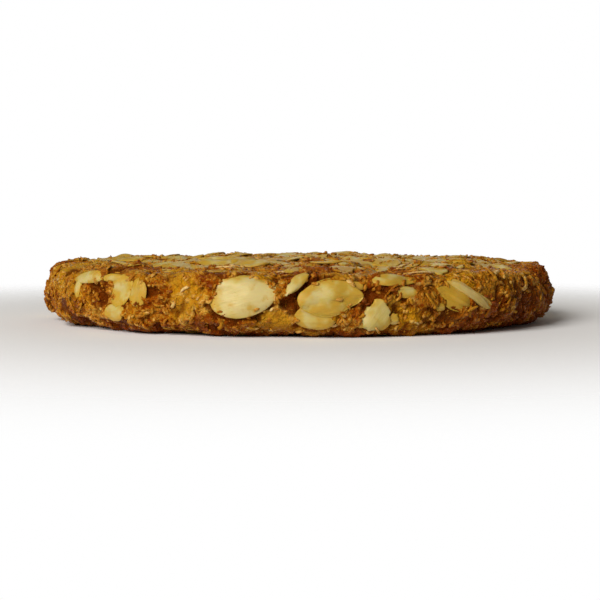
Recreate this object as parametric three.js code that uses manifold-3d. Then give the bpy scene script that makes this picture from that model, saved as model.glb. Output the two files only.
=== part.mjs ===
// Anzac biscuit: one round slab of baked oat and coconut crumb, flat underneath, gently domed on top, with a
// rounded craggy rim. The rolled-oat flakes that show lie in its skin and stand a little proud of it, all one
// solid. Millimetres, +Z up; the origin is the middle of the flat underside, and -Y is the front.

import * as THREE from "three";
import { mergeVertices } from "three/addons/utils/BufferGeometryUtils.js";
import Module from "manifold-3d";

// Driving dimensions of the slab; its lower corner is oval, and reaches further in than it rises
const RADIUS = 40.6;
const RIM_HEIGHT = 8.9;
const DOME_RISE = 1;
const TOP_CORNER = 2.2;
const BASE_CORNER = 3;
const BASE_CORNER_REACH = 6;
const RIM_BULGE = 0.7;
const BASE_SINK = 0.7;
const BASE_CURVE_REACH = 0.75;

// The outline's slow waves: how many go round, how far each swings, and where it starts
const OUTLINE_WAVES = [
  { round: 2, swing: 0.4, start: 0.4 },
  { round: 3, swing: 0.45, start: 2.1 },
  { round: 5, swing: 0.3, start: 4.0 },
  { round: 8, swing: 0.22, start: 1.2 },
  { round: 13, swing: 0.16, start: 5.3 },
];

// Crags of the crumb: many shallow waves running all ways through the slab
const CRAG_WAVES = 16;
const CRAG_SHORTEST = 5.2;
const CRAG_LONGEST = 13;
const CRAG_SWING = 0.1;
const SKIN_DETAIL = 14;

// Rolled-oat flakes: a whole one's length, its width as a share of that, and its thickness
const FLAKE_SHORTEST = 4.8;
const FLAKE_LONGEST = 9;
const FLAKE_SLIMMEST = 0.56;
const FLAKE_ROUNDEST = 0.76;
const FLAKE_THICKNESS = 1.1;
const FLAKE_LIFT = 0.1;
const FLAKE_TILT = THREE.MathUtils.degToRad(9);
const FLAKE_SIDES = 9;
const FLAKE_RINGS = 3;

// How many flakes the top and the back of the rim show, and how far they stray from an even spread
const TOP_FLAKES = 58;
const TOP_REACH = 35;
const RIM_FLAKES = 22;
const RIM_FROM = THREE.MathUtils.degToRad(54);
const RIM_TO = THREE.MathUtils.degToRad(308);
const RIM_LOWEST = 3.2;
const RIM_HIGHEST = 5.6;
const RIM_LEAN = THREE.MathUtils.degToRad(38);
const STRAY = 2.4;
const GOLDEN_TURN = Math.PI * (3 - Math.sqrt(5));
const SEED = 1915;

// The draws' rule, and how finely corners are merged and heights are found
const DRAW_FACTOR = 1664525;
const DRAW_STEP = 1013904223;
const DRAW_RANGE = 2 ** 32;
const MERGE_DISTANCE = 1e-4;
const HALVINGS = 30;

// Flakes on the front of the rim: degrees round from the front (to the right), height of the middle, length,
// width, and degrees that the long way leans up to the right. A sliver stands on edge in the crumb.
const FRONT_FLAKES = [
  { round: -12.8, height: 6.2, length: 9.8, width: 6.4, lean: 9 },
  { round: 5.5, height: 6, length: 9.2, width: 5.2, lean: 9 },
  { round: 2.6, height: 3.1, length: 6.2, width: 4, lean: 5 },
  { round: -1.2, height: 7.6, length: 5.4, width: 2.2, lean: 45 },
  { round: 14.7, height: 3, length: 5.4, width: 4.6, lean: 52 },
  { round: 20.9, height: 6.4, length: 3.4, width: 1.8, lean: 0 },
  { round: 19.1, height: 8.3, length: 7.4, width: 2.4, lean: 5 },
  { round: 31.5, height: 5.7, length: 5.6, width: 3.8, lean: -30 },
  { round: 36, height: 6.6, length: 8.8, width: 1.7, lean: -37 },
  { round: -36, height: 6.1, length: 4.2, width: 3.2, lean: 90 },
  { round: -41.1, height: 6.2, length: 6, width: 4.4, lean: 62 },
  { round: -52.5, height: 8, length: 7.4, width: 1.9, lean: 3 },
  { round: -43, height: 3, length: 5, width: 2.8, lean: 12 },
  { round: 47, height: 3.4, length: 5.2, width: 3.4, lean: 25 },
];

const FRONT = -Math.PI / 2;
const { degToRad, lerp } = THREE.MathUtils;
const wasm = await Module();
wasm.setup();

// Repeatable draws between 0 and 1
function drawsFrom(seed) {
  let state = seed >>> 0;
  return () => {
    state = (Math.imul(state, DRAW_FACTOR) + DRAW_STEP) >>> 0;
    return state / DRAW_RANGE;
  };
}

// Half the slab's section, from the middle of the top over the rim to the middle of the underside
function sectionPath() {
  const path = new THREE.Path();
  const shoulder = RADIUS - TOP_CORNER;
  path.moveTo(0, RIM_HEIGHT + DOME_RISE);
  path.quadraticCurveTo(shoulder / 2, RIM_HEIGHT + DOME_RISE, shoulder, RIM_HEIGHT);
  path.absellipse(shoulder, RIM_HEIGHT - TOP_CORNER, TOP_CORNER, TOP_CORNER, Math.PI / 2, 0, true);
  const middle = (RIM_HEIGHT - TOP_CORNER + BASE_CORNER) / 2;
  path.quadraticCurveTo(RADIUS + RIM_BULGE, middle, RADIUS, BASE_CORNER);
  const foot = RADIUS - BASE_CORNER_REACH;
  path.absellipse(foot, BASE_CORNER, BASE_CORNER_REACH, BASE_CORNER, 0, -Math.PI / 2, true);
  path.quadraticCurveTo(RADIUS * BASE_CURVE_REACH, -BASE_SINK, 0, -BASE_SINK);
  return path;
}

const section = sectionPath();

// Share of the section's length at which the rim stands at a height
function shareAtHeight(height) {
  let low = 0;
  let high = 1;
  for (let halving = 0; halving < HALVINGS; halving += 1) {
    const middle = (low + high) / 2;
    if (section.getPointAt(middle).y > height) low = middle;
    else high = middle;
  }
  return low;
}

// How far the outline swings out at an angle, as a share of the radius
function outlineSwing(angle) {
  const swings = OUTLINE_WAVES.map(({ round, swing, start }) => swing * Math.cos(round * angle + start));
  return swings.reduce((sum, swing) => sum + swing, 0) / RADIUS;
}

// The crags' waves, each with a direction, a pitch and a start
function cragWaves(draw) {
  return Array.from({ length: CRAG_WAVES }, (_, number) => {
    const wavelength = lerp(CRAG_SHORTEST, CRAG_LONGEST, number / (CRAG_WAVES - 1));
    const heading = draw() * 2 * Math.PI;
    const climb = (draw() - 0.5) * 2;
    const level = Math.sqrt(1 - climb * climb);
    const direction = new THREE.Vector3(level * Math.cos(heading), level * Math.sin(heading), climb);
    return { pitch: direction.multiplyScalar((2 * Math.PI) / wavelength), start: draw() * 2 * Math.PI };
  });
}

const draw = drawsFrom(SEED);
const crags = cragWaves(draw);

function cragHeight(point) {
  return crags.reduce((sum, wave) => sum + CRAG_SWING * Math.sin(wave.pitch.dot(point) + wave.start), 0);
}

// A point of the craggy skin with its outward direction, at an angle and a share of the section's length
function skinAt(angle, share) {
  const place = section.getPointAt(share);
  const along = section.getTangentAt(share);
  const outward = new THREE.Vector3(Math.cos(angle), Math.sin(angle), 0);
  const normal = outward.clone().multiplyScalar(-along.y).setZ(along.x).normalize();
  const point = outward.clone().multiplyScalar(place.x * (1 + outlineSwing(angle))).setZ(place.y);
  return { point: point.addScaledVector(normal, cragHeight(point)), normal, outward };
}

// A closed geometry as a solid that can be joined and cut
function solidOf(geometry) {
  geometry.deleteAttribute("normal");
  geometry.deleteAttribute("uv");
  const merged = mergeVertices(geometry, MERGE_DISTANCE);
  const vertProperties = new Float32Array(merged.attributes.position.array);
  const triVerts = new Uint32Array(merged.index.array);
  return new wasm.Manifold(new wasm.Mesh({ numProp: 3, vertProperties, triVerts }));
}

// The slab: an even ball of triangles, each corner moved to the skin at the same angle and share down it
function slabSolid() {
  const ball = new THREE.IcosahedronGeometry(1, SKIN_DETAIL);
  const corner = new THREE.Vector3();
  const places = ball.attributes.position;
  for (let number = 0; number < places.count; number += 1) {
    corner.fromBufferAttribute(places, number).normalize();
    const share = Math.acos(THREE.MathUtils.clamp(corner.z, -1, 1)) / Math.PI;
    places.setXYZ(number, ...skinAt(Math.atan2(corner.y, corner.x), share).point);
  }
  return solidOf(ball);
}

// A flake's own shape: a flat oval disc, a little fuller in the middle
function flakeDisc(length, width) {
  const edge = Math.sin(Math.PI / FLAKE_RINGS);
  const disc = new THREE.SphereGeometry(1, FLAKE_SIDES, FLAKE_RINGS).rotateX(Math.PI / 2);
  return disc.scale(length / 2 / edge, width / 2 / edge, FLAKE_THICKNESS / 2);
}

// One flake laid in the skin: turned about the way out, tipped a little, and bent with the rim
function flakeSolid({ angle, share, length, width, turn, tip }) {
  const { point, normal, outward } = skinAt(angle, share);
  const sideways = new THREE.Vector3(-outward.y, outward.x, 0);
  const upward = new THREE.Vector3().crossVectors(normal, sideways);
  const disc = flakeDisc(length, width).rotateX(tip).rotateZ(turn);
  const bend = Math.hypot(normal.x, normal.y) / (2 * RADIUS);
  const places = disc.attributes.position;
  for (let number = 0; number < places.count; number += 1) {
    places.setZ(number, places.getZ(number) + FLAKE_LIFT - bend * places.getX(number) ** 2);
  }
  disc.applyMatrix4(new THREE.Matrix4().makeBasis(sideways, upward, normal));
  return solidOf(disc.translate(...point));
}

// A flake of a drawn size, turned at most so far either way and tipped a little
function drawnFlake(mostTurn) {
  const length = lerp(FLAKE_SHORTEST, FLAKE_LONGEST, draw());
  const width = length * lerp(FLAKE_SLIMMEST, FLAKE_ROUNDEST, draw());
  return { length, width, turn: (draw() - 0.5) * 2 * mostTurn, tip: (draw() - 0.5) * 2 * FLAKE_TILT };
}

// Flakes on the top, spread evenly on a spiral and strayed a little from it
function topFlakes() {
  return Array.from({ length: TOP_FLAKES }, (_, number) => {
    const reach = TOP_REACH * Math.sqrt((number + 0.5) / TOP_FLAKES);
    const angle = number * GOLDEN_TURN;
    const x = reach * Math.cos(angle) + (draw() - 0.5) * STRAY;
    const y = reach * Math.sin(angle) + (draw() - 0.5) * STRAY;
    const share = Math.min(Math.hypot(x, y), TOP_REACH) / section.getLength();
    return { angle: Math.atan2(y, x), share, ...drawnFlake(Math.PI) };
  });
}

// Flakes round the sides and the back of the rim
function rimFlakes() {
  return Array.from({ length: RIM_FLAKES }, (_, number) => {
    const round = lerp(RIM_FROM, RIM_TO, (number + 0.5) / RIM_FLAKES) + ((draw() - 0.5) * STRAY) / RADIUS;
    const share = shareAtHeight(lerp(RIM_LOWEST, RIM_HIGHEST, draw()));
    return { angle: FRONT + round, share, ...drawnFlake(RIM_LEAN) };
  });
}

function frontFlakes() {
  return FRONT_FLAKES.map(({ round, height, length, width, lean }) => {
    const share = shareAtHeight(height);
    return { angle: FRONT + degToRad(round), share, length, width, turn: degToRad(lean), tip: 0 };
  });
}

// The whole biscuit: slab and flakes in one, cut flat underneath, without loose scraps or shut-in hollows
function biscuitSolid() {
  const flakes = [...topFlakes(), ...rimFlakes(), ...frontFlakes()].map(flakeSolid);
  const span = 4 * RADIUS;
  const below = solidOf(new THREE.BoxGeometry(span, span, RADIUS).translate(0, 0, -RADIUS / 2));
  const whole = flakes.reduce((joined, flake) => joined.add(flake), slabSolid()).subtract(below);
  return whole.decompose().reduce((largest, body) => (body.volume() > largest.volume() ? body : largest));
}

function geometryOf(solid) {
  const { vertProperties, triVerts } = solid.getMesh();
  const geometry = new THREE.BufferGeometry();
  geometry.setAttribute("position", new THREE.BufferAttribute(new Float32Array(vertProperties), 3));
  geometry.setIndex(new THREE.BufferAttribute(new Uint32Array(triVerts), 1));
  geometry.computeVertexNormals();
  return geometry;
}

const crumb = new THREE.MeshStandardMaterial({ color: 0xa8691e, roughness: 0.75, metalness: 0 });
const biscuit = new THREE.Mesh(geometryOf(biscuitSolid()), crumb);
biscuit.name = "biscuit";

const part = new THREE.Group();
part.add(biscuit);

export default part;
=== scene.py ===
"""Looks of an anzac biscuit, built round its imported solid.

One round slab of baked oat and coconut crumb, lying flat: a craggy crumb body, rolled-oat flakes that lie
in its skin with dough crept over their edges, toasted coconut shreds, baked fibres, and lumps and grains of
crumb. Sizes are in millimetres, with the origin in the middle of the flat underside, +Z up and -Y at the
front. Meshes are scaled to metres as they become objects.
"""

import logging
import math
from dataclasses import dataclass
from enum import Enum

import bmesh
import bpy
import numpy as np
from mathutils import Matrix, Vector, noise

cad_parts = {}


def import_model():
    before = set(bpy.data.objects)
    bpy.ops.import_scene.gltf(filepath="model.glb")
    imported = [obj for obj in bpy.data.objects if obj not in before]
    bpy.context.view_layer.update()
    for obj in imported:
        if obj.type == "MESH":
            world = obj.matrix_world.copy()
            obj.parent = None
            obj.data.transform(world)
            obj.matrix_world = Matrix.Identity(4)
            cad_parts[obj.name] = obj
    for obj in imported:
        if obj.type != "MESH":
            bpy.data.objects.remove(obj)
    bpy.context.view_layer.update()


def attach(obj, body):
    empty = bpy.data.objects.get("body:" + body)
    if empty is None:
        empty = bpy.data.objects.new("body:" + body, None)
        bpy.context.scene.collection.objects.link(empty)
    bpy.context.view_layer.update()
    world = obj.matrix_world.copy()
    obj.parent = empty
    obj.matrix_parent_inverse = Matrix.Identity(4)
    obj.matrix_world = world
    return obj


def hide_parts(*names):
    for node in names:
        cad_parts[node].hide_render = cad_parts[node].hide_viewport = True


LOG = logging.getLogger("biscuit")
MM = 0.001
FRONT = -math.pi / 2
BODY = "root"
NODE = "biscuit"
SEED = 1915

Colour = tuple[float, float, float]
Point = tuple[float, float, float]
Place = tuple[float, float]
# Two ends of a range, or the two numbers that shape a draw from 0 to 1.
Pair = tuple[float, float]
# Two ends of a smooth rise, and what it gives at each where that isn't 0 and 1.
Span = tuple[float, ...]

# Shape of a draw from 0 to 1 that gives mostly small sizes.
MOSTLY_SMALL: Pair = (1.3, 2.6)


class Slot(Enum):
    """Material slots of the record; each kind of shred keeps one, which nothing here reads."""

    CRUMB = "crumb"
    OAT = "oat"
    COCONUT = "coconut"


class FlakeKind(Enum):
    """How a rolled-oat flake has come through mixing and baking."""

    WHOLE = "whole"
    GROOVED = "grooved"
    CREASED = "creased"
    TORN = "torn"
    SNAPPED = "snapped"
    ON_EDGE = "on edge"
    BURIED = "buried"


def smooth_step(values: np.ndarray, low: float, high: float) -> np.ndarray:
    """Rises smoothly from 0 at low to 1 at high.

    Args:
        values: Numbers to map.
        low: Value that gives 0.
        high: Value that gives 1.

    Returns:
        The mapped numbers.
    """
    share = np.clip((values - low) / (high - low), 0, 1)
    return share * share * (3 - 2 * share)


def bell(values: np.ndarray, middle: float, spread: float) -> np.ndarray:
    """A smooth hump of height 1 at a middle value."""
    return np.exp(-(((values - middle) / spread) ** 2))


class Draws:
    """Repeatable draws between 0 and 1, by the rule that the solid's flakes were drawn with."""

    FACTOR = 1664525
    STEP = 1013904223
    RANGE = 2**32

    def __init__(self, seed: int) -> None:
        """Starts the draws at a seed."""
        self.state = seed

    def next(self) -> float:
        """Gives the next draw."""
        self.state = (self.state * self.FACTOR + self.STEP) % self.RANGE
        return self.state / self.RANGE

    def between(self, low: float, high: float) -> float:
        """Gives the next draw, spread from low to high."""
        return low + (high - low) * self.next()

    def swing(self, most: float) -> float:
        """Gives the next draw, spread as far as most either way from 0."""
        return (self.next() - 0.5) * 2 * most


@dataclass(frozen=True)
class OutlineWave:
    """A slow wave of the outline: how many go round, how far it swings, and where it starts."""

    round: int
    swing: float
    start: float


@dataclass(frozen=True)
class SlabSizes:
    """Driving dimensions of the bare slab, in millimetres."""

    radius: float = 40.6
    rim_height: float = 8.9
    dome_rise: float = 1.0
    top_corner: float = 2.2
    base_corner: float = 3.0
    base_corner_reach: float = 6.0
    rim_bulge: float = 0.7
    base_sink: float = 0.7
    base_curve_reach: float = 0.75
    crag_waves: int = 16
    crag_shortest: float = 5.2
    crag_longest: float = 13.0
    crag_swing: float = 0.1
    outline: tuple[OutlineWave, ...] = (
        OutlineWave(2, 0.4, 0.4),
        OutlineWave(3, 0.45, 2.1),
        OutlineWave(5, 0.3, 4.0),
        OutlineWave(8, 0.22, 1.2),
        OutlineWave(13, 0.16, 5.3),
    )


class Slab:
    """The slab's skin as a form: any place on it, by angle and by reach along its half section."""

    STEPS = 400

    def __init__(self, sizes: SlabSizes, draws: Draws) -> None:
        """Works out the section and the crags.

        Args:
            sizes: The slab's dimensions.
            draws: Draws that give the crags their directions.
        """
        self.sizes = sizes
        self.section = self._section()
        steps = np.linalg.norm(np.diff(self.section, axis=0), axis=1)
        self.reaches = np.concatenate([[0.0], np.cumsum(steps)])
        self.along = np.gradient(self.section, self.reaches, axis=0)
        self.pitches, self.starts = self._crags(draws)

    def _curve(self, start: Place, control: Place, end: Place) -> np.ndarray:
        """Points of a curve from start to end that leans towards control."""
        share = np.linspace(0, 1, self.STEPS)[:-1, None]
        first = np.outer((1 - share) ** 2, start)
        second = np.outer(2 * share * (1 - share), control)
        return first + second + np.outer(share**2, end)

    def _corner(self, centre: Place, radii: Place, first: float, last: float) -> np.ndarray:
        """Points of a round or oval corner about a centre, from one angle to another."""
        angles = np.linspace(first, last, self.STEPS)[:-1]
        return np.array(centre) + np.array(radii) * np.stack([np.cos(angles), np.sin(angles)], axis=1)

    def _section(self) -> np.ndarray:
        """Half the slab's section, from the middle of the top over the rim to the middle of the underside."""
        s = self.sizes
        shoulder = s.radius - s.top_corner
        foot = s.radius - s.base_corner_reach
        crown = s.rim_height + s.dome_rise
        rim_top = s.rim_height - s.top_corner
        rim_middle = (rim_top + s.base_corner) / 2
        return np.concatenate([
            self._curve((0, crown), (shoulder / 2, crown), (shoulder, s.rim_height)),
            self._corner((shoulder, rim_top), (s.top_corner, s.top_corner), math.pi / 2, 0),
            self._curve((s.radius, rim_top), (s.radius + s.rim_bulge, rim_middle), (s.radius, s.base_corner)),
            self._corner((foot, s.base_corner), (s.base_corner_reach, s.base_corner), 0, -math.pi / 2),
            self._curve((foot, 0), (s.radius * s.base_curve_reach, -s.base_sink), (0, -s.base_sink)),
            [(0, -s.base_sink)],
        ])

    def _crags(self, draws: Draws) -> tuple[np.ndarray, np.ndarray]:
        """Pitch and start of each of the shallow waves that run through the slab."""
        s = self.sizes
        pitches = []
        starts = []
        for wavelength in np.linspace(s.crag_shortest, s.crag_longest, s.crag_waves):
            heading = draws.next() * 2 * math.pi
            climb = draws.swing(1)
            level = math.sqrt(1 - climb * climb)
            direction = np.array([level * math.cos(heading), level * math.sin(heading), climb])
            pitches.append(direction * 2 * math.pi / wavelength)
            starts.append(draws.next() * 2 * math.pi)
        return np.array(pitches), np.array(starts)

    @property
    def length(self) -> float:
        """Length of the half section."""
        return float(self.reaches[-1])

    def reach_at_height(self, height: float) -> float:
        """Reach along the section at which the rim stands at a height."""
        return float(np.interp(-height, -self.section[:, 1], self.reaches))

    def stretch(self, reach: float) -> float:
        """How much wider the unrolled skin is at a reach than the real one."""
        return reach / float(np.interp(reach, self.reaches, self.section[:, 0]))

    def crag_height(self, points: np.ndarray) -> np.ndarray:
        """How far the crags stand out of the bare slab at some points."""
        return self.sizes.crag_swing * np.sin(points @ self.pitches.T + self.starts).sum(axis=1)

    def skin(self, angles: np.ndarray, reaches: np.ndarray) -> tuple[np.ndarray, np.ndarray]:
        """Places on the craggy skin.

        Args:
            angles: Angles round the middle axis.
            reaches: Reaches along the half section, from the middle of the top.

        Returns:
            The points and the directions that point straight out of the slab there.
        """
        place = [np.interp(reaches, self.reaches, self.section[:, axis]) for axis in (0, 1)]
        along = [np.interp(reaches, self.reaches, self.along[:, axis]) for axis in (0, 1)]
        swing = sum(w.swing * np.cos(w.round * angles + w.start) for w in self.sizes.outline)
        outward = np.stack([np.cos(angles), np.sin(angles), np.zeros_like(angles)], axis=1)
        points = outward * (place[0] * (1 + swing / self.sizes.radius))[:, None]
        points[:, 2] = place[1]
        normals = outward * -along[1][:, None]
        normals[:, 2] = along[0]
        normals /= np.linalg.norm(normals, axis=1)[:, None]
        return points + normals * self.crag_height(points)[:, None], normals

    def unrolled(self, places: np.ndarray) -> tuple[np.ndarray, np.ndarray]:
        """Skin points and outward directions at places on the skin unrolled about the middle of the top."""
        return self.skin(np.arctan2(places[:, 1], places[:, 0]), np.hypot(places[:, 0], places[:, 1]))


@dataclass(frozen=True)
class Flake:
    """One rolled-oat flake: where it lies on the skin, its size, and how it came out of the oven."""

    angle: float
    reach: float
    length: float
    width: float
    turn: float
    stretch: float
    tip: float = 0.0
    lift: float = -0.12
    thickness: float = 0.5
    kind: FlakeKind = FlakeKind.WHOLE
    toast: float = 0.3
    film: float = 0.3
    creep: float = 0.0
    seed: int = 0
    gap: float = 0.2
    gap_way: float = math.pi / 2
    underneath: bool = False

    @property
    def half(self) -> np.ndarray:
        """Half the length and half the width."""
        return np.array([self.length, self.width]) / 2

    def _frame(self) -> tuple[np.ndarray, np.ndarray]:
        """Ways outward and sideways on the unrolled skin."""
        outward = np.array([math.cos(self.angle), math.sin(self.angle)])
        return outward, np.array([-outward[1], outward[0]])

    def places(self, flat: np.ndarray) -> np.ndarray:
        """Points along the flake's long and short ways as places on the unrolled skin."""
        outward, sideways = self._frame()
        across = flat[:, 0] * math.cos(self.turn) - flat[:, 1] * math.sin(self.turn)
        out = -flat[:, 0] * math.sin(self.turn) - flat[:, 1] * math.cos(self.turn)
        return np.outer(across * self.stretch, sideways) + np.outer(out + self.reach, outward)

    def local(self, places: np.ndarray) -> np.ndarray:
        """Places on the unrolled skin as distances along the flake's long and short ways."""
        outward, sideways = self._frame()
        across = places @ sideways / self.stretch
        out = places @ outward - self.reach
        long_way = across * math.cos(self.turn) - out * math.sin(self.turn)
        short_way = -across * math.sin(self.turn) - out * math.cos(self.turn)
        return np.stack([long_way, short_way], axis=1)


@dataclass(frozen=True)
class FrontFlake:
    """A flake on the front of the rim.

    It is placed by degrees round from the front and the height of its middle. Its long way leans up to the
    right by some degrees, its upper side tips out, and dough creeps over it from a direction in its own
    plane. Its uneven edge and wrinkles are drawn from a seed. A gap of some depth has opened beside it, in a
    direction in its own plane.
    """

    round: float
    height: float
    length: float
    width: float
    lean: float
    kind: FlakeKind
    toast: float
    film: float
    tip: float = 0.0
    creep: float = 90.0
    lift: float = -0.1
    seed: int = 1
    gap: float = 0.2
    gap_way: float = -90.0

    def placed(self, slab: Slab) -> Flake:
        """The same flake, placed on a slab's skin."""
        reach = slab.reach_at_height(self.height)
        return Flake(
            angle=FRONT + math.radians(self.round),
            reach=reach,
            length=self.length,
            width=self.width,
            turn=math.radians(self.lean),
            stretch=slab.stretch(reach),
            tip=math.radians(self.tip),
            lift=self.lift,
            kind=self.kind,
            toast=self.toast,
            film=self.film,
            creep=math.radians(self.creep),
            seed=self.seed,
            gap=self.gap,
            gap_way=math.radians(self.gap_way),
        )


@dataclass(frozen=True)
class Dough:
    """How dough creeps over the flakes as they bake: from their edges, more from one side, in patches."""

    pitch: float = 1.5
    fine_pitch: float = 0.7
    fine_share: float = 0.5
    patch_share: float = 0.6
    edge_share: float = 0.4
    edge_middle: float = 0.5
    edge_most: float = 1.5
    side_share: float = 0.26
    covers_from: float = 0.42
    covers_to: float = 0.62
    soaks_from: float = -0.45
    soaks_to: float = 0.5

    def patches(self, points: np.ndarray) -> np.ndarray:
        """Uneven patches, from about -1 to 1, at some points of the skin."""
        return np.array([
            noise.noise(place / self.pitch) + self.fine_share * noise.noise(place / self.fine_pitch)
            for place in map(Vector, points)
        ])

    def crept(self, flake: Flake, local: np.ndarray, patches: np.ndarray) -> np.ndarray:
        """How far dough has got over a flake.

        Args:
            flake: The flake.
            local: Places along its long and short ways.
            patches: The uneven patches there.

        Returns:
            One number a place; the dough covers the flake from covers_from up.
        """
        share = local / flake.half
        towards = share @ np.array([math.cos(flake.creep), math.sin(flake.creep)])
        edge = np.minimum((share**2).sum(axis=1), self.edge_most) - self.edge_middle
        return flake.film + self.patch_share * patches + self.edge_share * edge + self.side_share * towards

    def covers(self, crept: np.ndarray) -> np.ndarray:
        """From 0 to 1, where the dough covers a flake."""
        return smooth_step(crept, self.covers_from, self.covers_to)

    def soaks(self, crept: np.ndarray) -> np.ndarray:
        """From 0 to 1, where syrup from the dough has stained a flake."""
        return smooth_step(crept, self.soaks_from, self.soaks_to)


@dataclass(frozen=True)
class FlakeMarks:
    """Marks on a flake's upper face: heights and widths in millimetres, pitches in radians a millimetre."""

    wrinkle_height: float = 0.025
    wrinkle_pitch: float = 6.5
    wrinkle_sway: float = 0.8
    wrinkle_sway_pitch: float = 0.9
    buckle_height: float = 0.05
    buckle_pitch: float = 1.5
    buckle_cross_pitch: float = 1.9
    groove_depth: float = 0.16
    groove_width: float = 0.2
    groove_bend: float = 0.15
    groove_bend_pitch: float = 0.7
    groove_end: int = 6
    groove_step: float = 0.08
    groove_step_width: float = 0.3
    crease_at: float = -0.2
    crease_bend: float = 0.14
    crease_bend_pitch: float = 1.3
    crease_rise: Pair = (-0.1, 0.14)
    crease_step: float = 0.24
    crease_depth: float = 0.26
    crease_width: float = 0.13
    flap_height: float = 0.12
    flap_pitch: float = 0.9
    flap_fall: float = 0.1
    rod_height: float = 0.3
    slit_depth: float = 0.4
    slit_at: float = 0.1
    slit_width: float = 0.16

    def heights(self, flake: Flake, flat: np.ndarray, rim: np.ndarray, phase: float) -> np.ndarray:
        """How high a flake's wrinkles, grooves and creases stand.

        Args:
            flake: The flake.
            flat: Places along its long and short ways.
            rim: How near to the edge each place is, 1 at the edge.
            phase: Where the waves of the marks start.

        Returns:
            One height a place.
        """
        along, over = flat.T
        sway = self.wrinkle_sway * np.sin(along * self.wrinkle_sway_pitch + phase)
        heights = self.wrinkle_height * np.sin(over * self.wrinkle_pitch + sway + phase)
        buckle = self.buckle_height * np.sin(along * self.buckle_pitch + phase)
        heights += buckle * np.cos(over * self.buckle_cross_pitch - phase)
        if flake.kind is FlakeKind.GROOVED:
            bend = self.groove_bend * np.sin(along * self.groove_bend_pitch + phase)
            heights -= self.groove_depth * bell(over, bend, self.groove_width) * (1 - rim**self.groove_end)
            heights -= self.groove_step * smooth_step(over - bend, 0, self.groove_step_width)
        if flake.kind is FlakeKind.CREASED:
            line = self.crease_at * flake.half[1]
            line = line + self.crease_bend * np.sin(along * self.crease_bend_pitch + phase)
            step = smooth_step(over - line, *self.crease_rise)
            crease = self.crease_depth * bell(over, line, self.crease_width)
            heights += self.crease_step * (step - 0.5) - crease
            flap = self.flap_height * step * np.abs(np.sin(along * self.flap_pitch + phase))
            heights += flap - self.flap_fall * (over - line) * step
        if flake.kind is FlakeKind.ON_EDGE:
            heights += self.rod_height - self.slit_depth * bell(over, self.slit_at, self.slit_width)
        return heights


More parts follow.
